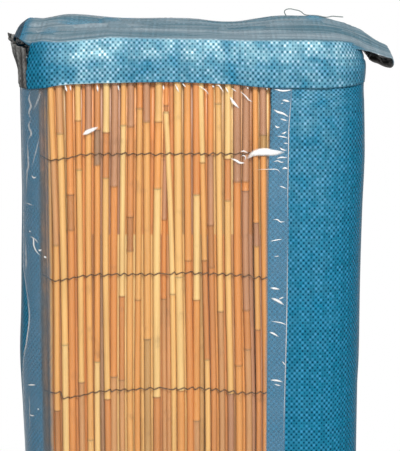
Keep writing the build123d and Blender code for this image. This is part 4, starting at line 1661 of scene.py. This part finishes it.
# %% List of creases
# Each crease: width, strength, and its line as x and height
FILM_CREASES = [
    (1.3, 1, ((67.7, 963.2), (75.0, 961.9), (82.4, 962.7))),
    (1.7, 1, ((74.3, 954.3), (77.5, 953.8), (80.8, 952.8))),
    (0.8, 0.7, ((73.1, 951.4), (75.5, 951.7))),
    (1.8, 1, ((67.4, 946.5), (71.1, 944.4), (75.2, 943.2), (80.0, 940.3))),
    (1.2, 0.8, ((72.8, 938.8), (75.7, 938.1), (78.9, 937.0))),
    (1.5, 0.9, ((68.7, 933.5), (70.4, 931.7), (72.8, 932.0))),
    (1.3, 0.8, ((74.1, 926.4), (76.2, 927.0), (78.6, 928.3))),
    (1.0, 0.9, ((70.4, 924.5), (75.4, 923.9), (79.9, 922.7))),
    (1.0, 0.8, ((75.8, 918.7), (79.9, 918.2))),
    (1.3, 0.9, ((72.6, 915.2), (74.7, 913.3), (78.8, 912.5))),
    (5.9, 1, ((46.0, 905.6), (52.0, 910.2), (60.0, 911.3), (68.0, 910.6), (76.7, 911.0))),
    (1.3, 0.8, ((40.2, 911.2), (43.4, 911.9), (46.7, 910.4))),
    (1.1, 0.8, ((41.0, 907.1), (43.1, 908.5), (45.1, 906.2), (43.1, 903.7))),
    (2.0, 1, ((32.8, 905.8), (36.9, 904.1), (40.2, 902.2), (44.3, 902.1))),
    (1.3, 0.9, ((70.2, 905.6), (73.9, 906.7), (79.6, 906.4))),
    (1.0, 0.8, ((66.9, 902.5), (71.0, 903.9), (73.9, 902.6), (76.8, 902.9))),
    (0.8, 0.7, ((53.4, 896.5), (64.9, 896.7), (70.7, 896.5), (74.0, 893.3))),
    (1.5, 1, ((74.8, 897.0), (77.3, 897.9), (79.7, 897.0))),
    (1.0, 0.8, ((72.5, 882.8), (75.8, 881.8), (79.1, 880.3))),
    (1.1, 0.9, ((67.7, 854.5), (71.5, 854.3), (74.0, 852.4), (77.7, 852.7))),
    (0.9, 0.9, ((65.4, 835.9), (70.4, 837.0), (75.8, 837.8))),
    (0.8, 0.7, ((68.8, 823.1), (73.4, 823.3))),
    (1.8, 1, ((65.7, 796.2), (69.9, 795.6), (74.1, 794.9))),
    (1.3, 0.9, ((72.9, 786.2), (77.5, 788.3))),
    (2.4, 0.9, ((66.6, 787.4), (72.0, 785.2), (77.6, 781.4))),
    (1.0, 0.8, ((66.0, 767.5), (75.0, 766.0), (80.0, 764.0))),
    (1.6, 0.9, ((65.2, 758.0), (69.0, 756.6), (73.6, 753.6))),
    (1.0, 0.8, ((76.3, 732.7), (79.7, 728.3))),
    (1.6, 0.9, ((66.4, 716.0), (72.0, 715.6), (77.3, 714.3))),
    (1.2, 0.8, ((69.8, 712.5), (75.7, 710.7))),
    (1.0, 0.8, ((32.6, 964.2), (35.0, 962.7), (37.1, 960.9))),
    (1.2, 0.8, ((39.9, 961.7), (44.4, 957.6), (47.3, 954.3), (50.2, 952.8))),
    (2.2, 1, ((31.8, 957.2), (34.7, 952.3), (39.6, 947.1))),
    (1.0, 0.7, ((5.7, 966.2), (11.4, 962.6), (14.6, 958.4))),
    (1.3, 0.9, ((17.1, 966.2), (19.1, 964.6))),
    (1.2, 0.9, ((20.3, 966.5), (23.2, 965.8), (26.9, 960.1))),
    (1.2, 0.9, ((28.1, 965.0), (30.6, 960.1))),
    (1.3, 1, ((45.6, 965.0), (46.9, 963.4))),
    (1.2, 0.9, ((61.1, 964.2), (62.8, 963.0))),
    (1.4, 0.8, ((-22.9, 966.6), (-22.1, 962.2))),
    (1.4, 0.8, ((-13.1, 967.5), (-9.8, 960.5))),
    (1.4, 0.8, ((-7.4, 968.3), (-4.1, 964.6))),
    (1.6, 0.9, ((-102.8, 967.0), (-101.2, 960.9))),
    (1.2, 0.8, ((-98.7, 967.0), (-98.0, 961.7))),
    (1.6, 0.9, ((-76.7, 967.0), (-75.9, 960.9))),
    (1.2, 0.8, ((-59.6, 967.0), (-58.8, 961.7))),
    (3.6, 1, ((-89.0, 925.6), (-84.0, 928.4), (-76.0, 932.0))),
    (2.0, 0.4, ((-132.4, 959.0), (-133.7, 953.0), (-132.0, 947.4), (-134.0, 941.3), (-132.2, 935.7))),
    (2.0, 0.4, ((-132.3, 936.0), (-134.4, 930.3), (-132.2, 924.0), (-135.6, 918.3))),
    (1.7, 0.4, ((-135.6, 918.8), (-135.6, 908.2), (-135.4, 896.5), (-137.0, 889.3), (-138.2, 867.0))),
    (1.7, 0.25, ((-122.9, 961.7), (-125.7, 953.2), (-130.3, 943.5))),
    (1.1, 0.3, ((-124.5, 924.2), (-128.3, 909.5), (-132.6, 895.3))),
    (1.3, 1, ((-132.8, 889.2), (-131.0, 887.2), (-128.3, 888.5))),
    (1.0, 0.5, ((-139.0, 864.0), (-135.6, 864.1), (-131.0, 863.5))),
    (1.2, 0.9, ((-135.6, 841.0), (-133.8, 840.7))),
    (1.3, 1, ((-134.8, 836.5), (-131.6, 835.6), (-131.2, 830.1), (-129.1, 825.4), (-125.1, 821.8))),
    (1.0, 0.6, ((-134.3, 837.1), (-129.8, 835.1), (-127.2, 832.1))),
    (1.7, 0.9, ((-127.3, 827.0), (-125.9, 826.4), (-124.1, 827.5))),
    (1.8, 1, ((-122.5, 822.1), (-120.3, 820.7))),
    (1.5, 0.35, ((-138.7, 835.8), (-138.1, 815.2), (-138.4, 804.7))),
    (0.8, 0.6, ((-137.9, 785.0), (-135.6, 771.0), (-135.9, 759.3), (-138.2, 740.8), (-141.0, 727.7))),
    (1.3, 1, ((-137.6, 705.8), (-134.2, 707.3), (-130.5, 708.5))),
    (1.2, 0.9, ((-137.7, 679.6), (-134.8, 679.5), (-132.4, 680.7))),
    (1.3, 0.9, ((-130.0, 687.4), (-128.6, 686.9))),
    (0.8, 0.3, ((-136.7, 703.3), (-136.7, 683.7), (-137.4, 656.3))),
    (0.8, 0.55,
     ((82.2, 962.6), (81.0, 946.1), (80.0, 929.5), (80.0, 912.9), (79.7, 879.4), (79.6, 845.6))),
    (0.8, 0.5,
     ((79.6, 846.0), (80.0, 811.5), (80.0, 777.1), (79.4, 733.6), (78.6, 689.6), (78.4, 655.8))),
]
print(len(FILM_CREASES), "creases")

# %% [markdown]
# A crease is a narrow grid drawn along its line, bent round the bag with the film, and raised in the
# middle. Its vertices carry how strong its painted highlight is, most along the middle and nothing at the
# rim, so it fades out without an edge.

# %% Ridges of the creases
def add_crease(shape, painted_highlight, width, strength, line):
    """A ridge along a line of points, bent round the bag just outside the film."""
    run = sum(math.dist(a, b) for a, b in zip(line, line[1:]))
    steps = min(max(round(run / 1.6), 4), 30)
    half = Matrix.Translation((0.5, 0.5, 0))
    made = bmesh.ops.create_grid(shape, x_segments=steps, y_segments=4, size=0.5, matrix=half)["verts"]
    marks = [index / (len(line) - 1) for index in range(len(line))]
    across = [list(zip(marks, (point[i] for point in line))) for i in (0, 1)]
    for vert in made:
        share, side = vert.co.x, 2 * vert.co.y - 1
        middle = Vector([through(path, share) for path in across])
        after = Vector([through(path, min(share + 0.02, 1)) for path in across])
        ahead = after - Vector([through(path, share - 0.02) for path in across])
        fade = math.sin(math.pi * min(max(share, 0.02), 0.98)) ** 0.6
        x, height = middle + ahead.orthogonal().normalized() * side * width * fade * 0.6
        along = along_at(x * MM)
        plain, facing = wrap(along, 0)
        lift = film_rise(x, height)[0] + 0.25 + 0.2 * width * fade * (1 - side * side)
        place = plain + facing * (lift * MM + swell(along, height * MM))
        vert[painted_highlight] = strength * fade * (1 - side * side)
        vert.co = (place.x, place.y, height * MM)


def make_creases():
    """All the creases as one mesh."""
    shape = bmesh.new()
    painted_highlight = shape.verts.layers.float.new("painted_highlight")
    for width, strength, line in FILM_CREASES:
        add_crease(shape, painted_highlight, width, strength, line)
    face_out(shape, Vector((0, -1, 0)))
    return shape


crease_shape = make_creases()
print("ridges of", len(crease_shape.faces), "faces")

# %% [markdown]
# Creased film flashes white in the light. A plain pale surface paints that as a highlight, and its Alpha
# is what each vertex carries, broken up by a fine grain.

# %% Crease finish
crease_finish, crease_tree, crease_shader = new_finish("film_crease_highlight")
crease_coords = crease_tree.nodes.new("ShaderNodeTexCoord")
crease_grain = add_node(
    crease_tree, "ShaderNodeTexNoise", Vector=crease_coords.outputs["Object"], Scale=420.0
)
crease_share = sums(crease_tree, "MULTIPLY_ADD", crease_grain.outputs["Fac"], 1.5, 0.55)
crease_highlight = sums(crease_tree, "MULTIPLY", reading(crease_tree, "painted_highlight"), crease_share)
crease_tree.links.new(crease_highlight, crease_shader.inputs["Alpha"])
crease_shader.inputs["Base Color"].default_value = (0.82, 0.81, 0.79, 1)
crease_shader.inputs["Roughness"].default_value = 0.3
film_crease_highlights = add_piece("film_crease_highlights", crease_shape, [crease_finish], "clear_film")

# %% [markdown]
# The thread is a dull grey green, spun from fibres that show as light and dark flecks. A fine
# noise between two shades gives those, and the loose end and the stitches share the finish.

# %% Thread finish
thread_finish, thread_tree, thread_shader = new_finish("sewing_thread")
thread_coords = thread_tree.nodes.new("ShaderNodeTexCoord")
thread_ply = add_node(
    thread_tree, "ShaderNodeTexNoise", Vector=thread_coords.outputs["Object"], Scale=1400.0
)
thread_tree.links.new(
    mixed(thread_tree, thread_ply.outputs["Fac"], (0.05, 0.075, 0.075, 1), (0.26, 0.30, 0.29, 1)),
    thread_shader.inputs["Base Color"],
)
thread_shader.inputs["Roughness"].default_value = 0.7
tail.data.materials.append(thread_finish)
print("thread finish", thread_finish.name)

# %% [markdown]
# The sewn row that closes the mouth is a line of short stitches along the crest of the strip.
# One stitch is a small round, drawn out along the row. It is copied at even steps, each time
# sunk a little into the highest point of the cloth there.

# %% Stitches
CREST_POINTS = [vert.co for vert in mouth_strip.data.vertices if vert.co.y > 0.035]
STITCH_STEP = 5.0
STITCH_SIZE = (0.45 * MM, 0.45 * MM, 2.1 * MM, 1)
STITCH_SUNK = 0.3 * MM


def make_stitches():
    """Stitches end to end along the crest, each a drawn-out round lying on its side."""
    shape = bmesh.new()
    turn = Matrix.Rotation(math.radians(90), 4, "Y")
    x = -130.0
    while x < 82:
        top = max((p for p in CREST_POINTS if abs(p.x / MM - x - 2) < 1.6), key=lambda p: p.z)
        place = Matrix.Translation(((x + 2) * MM, top.y, top.z - STITCH_SUNK))
        bmesh.ops.create_uvsphere(
            shape,
            u_segments=8,
            v_segments=6,
            radius=1.0,
            matrix=place @ turn @ Matrix.Diagonal(STITCH_SIZE),
        )
        x += STITCH_STEP
    return shape


add_piece("mouth_stitches", make_stitches(), [thread_finish], "thread", "closing_thread")

# %% [markdown]
# The last step brings the scene up to date.

# %% Finish
bpy.context.view_layer.update()
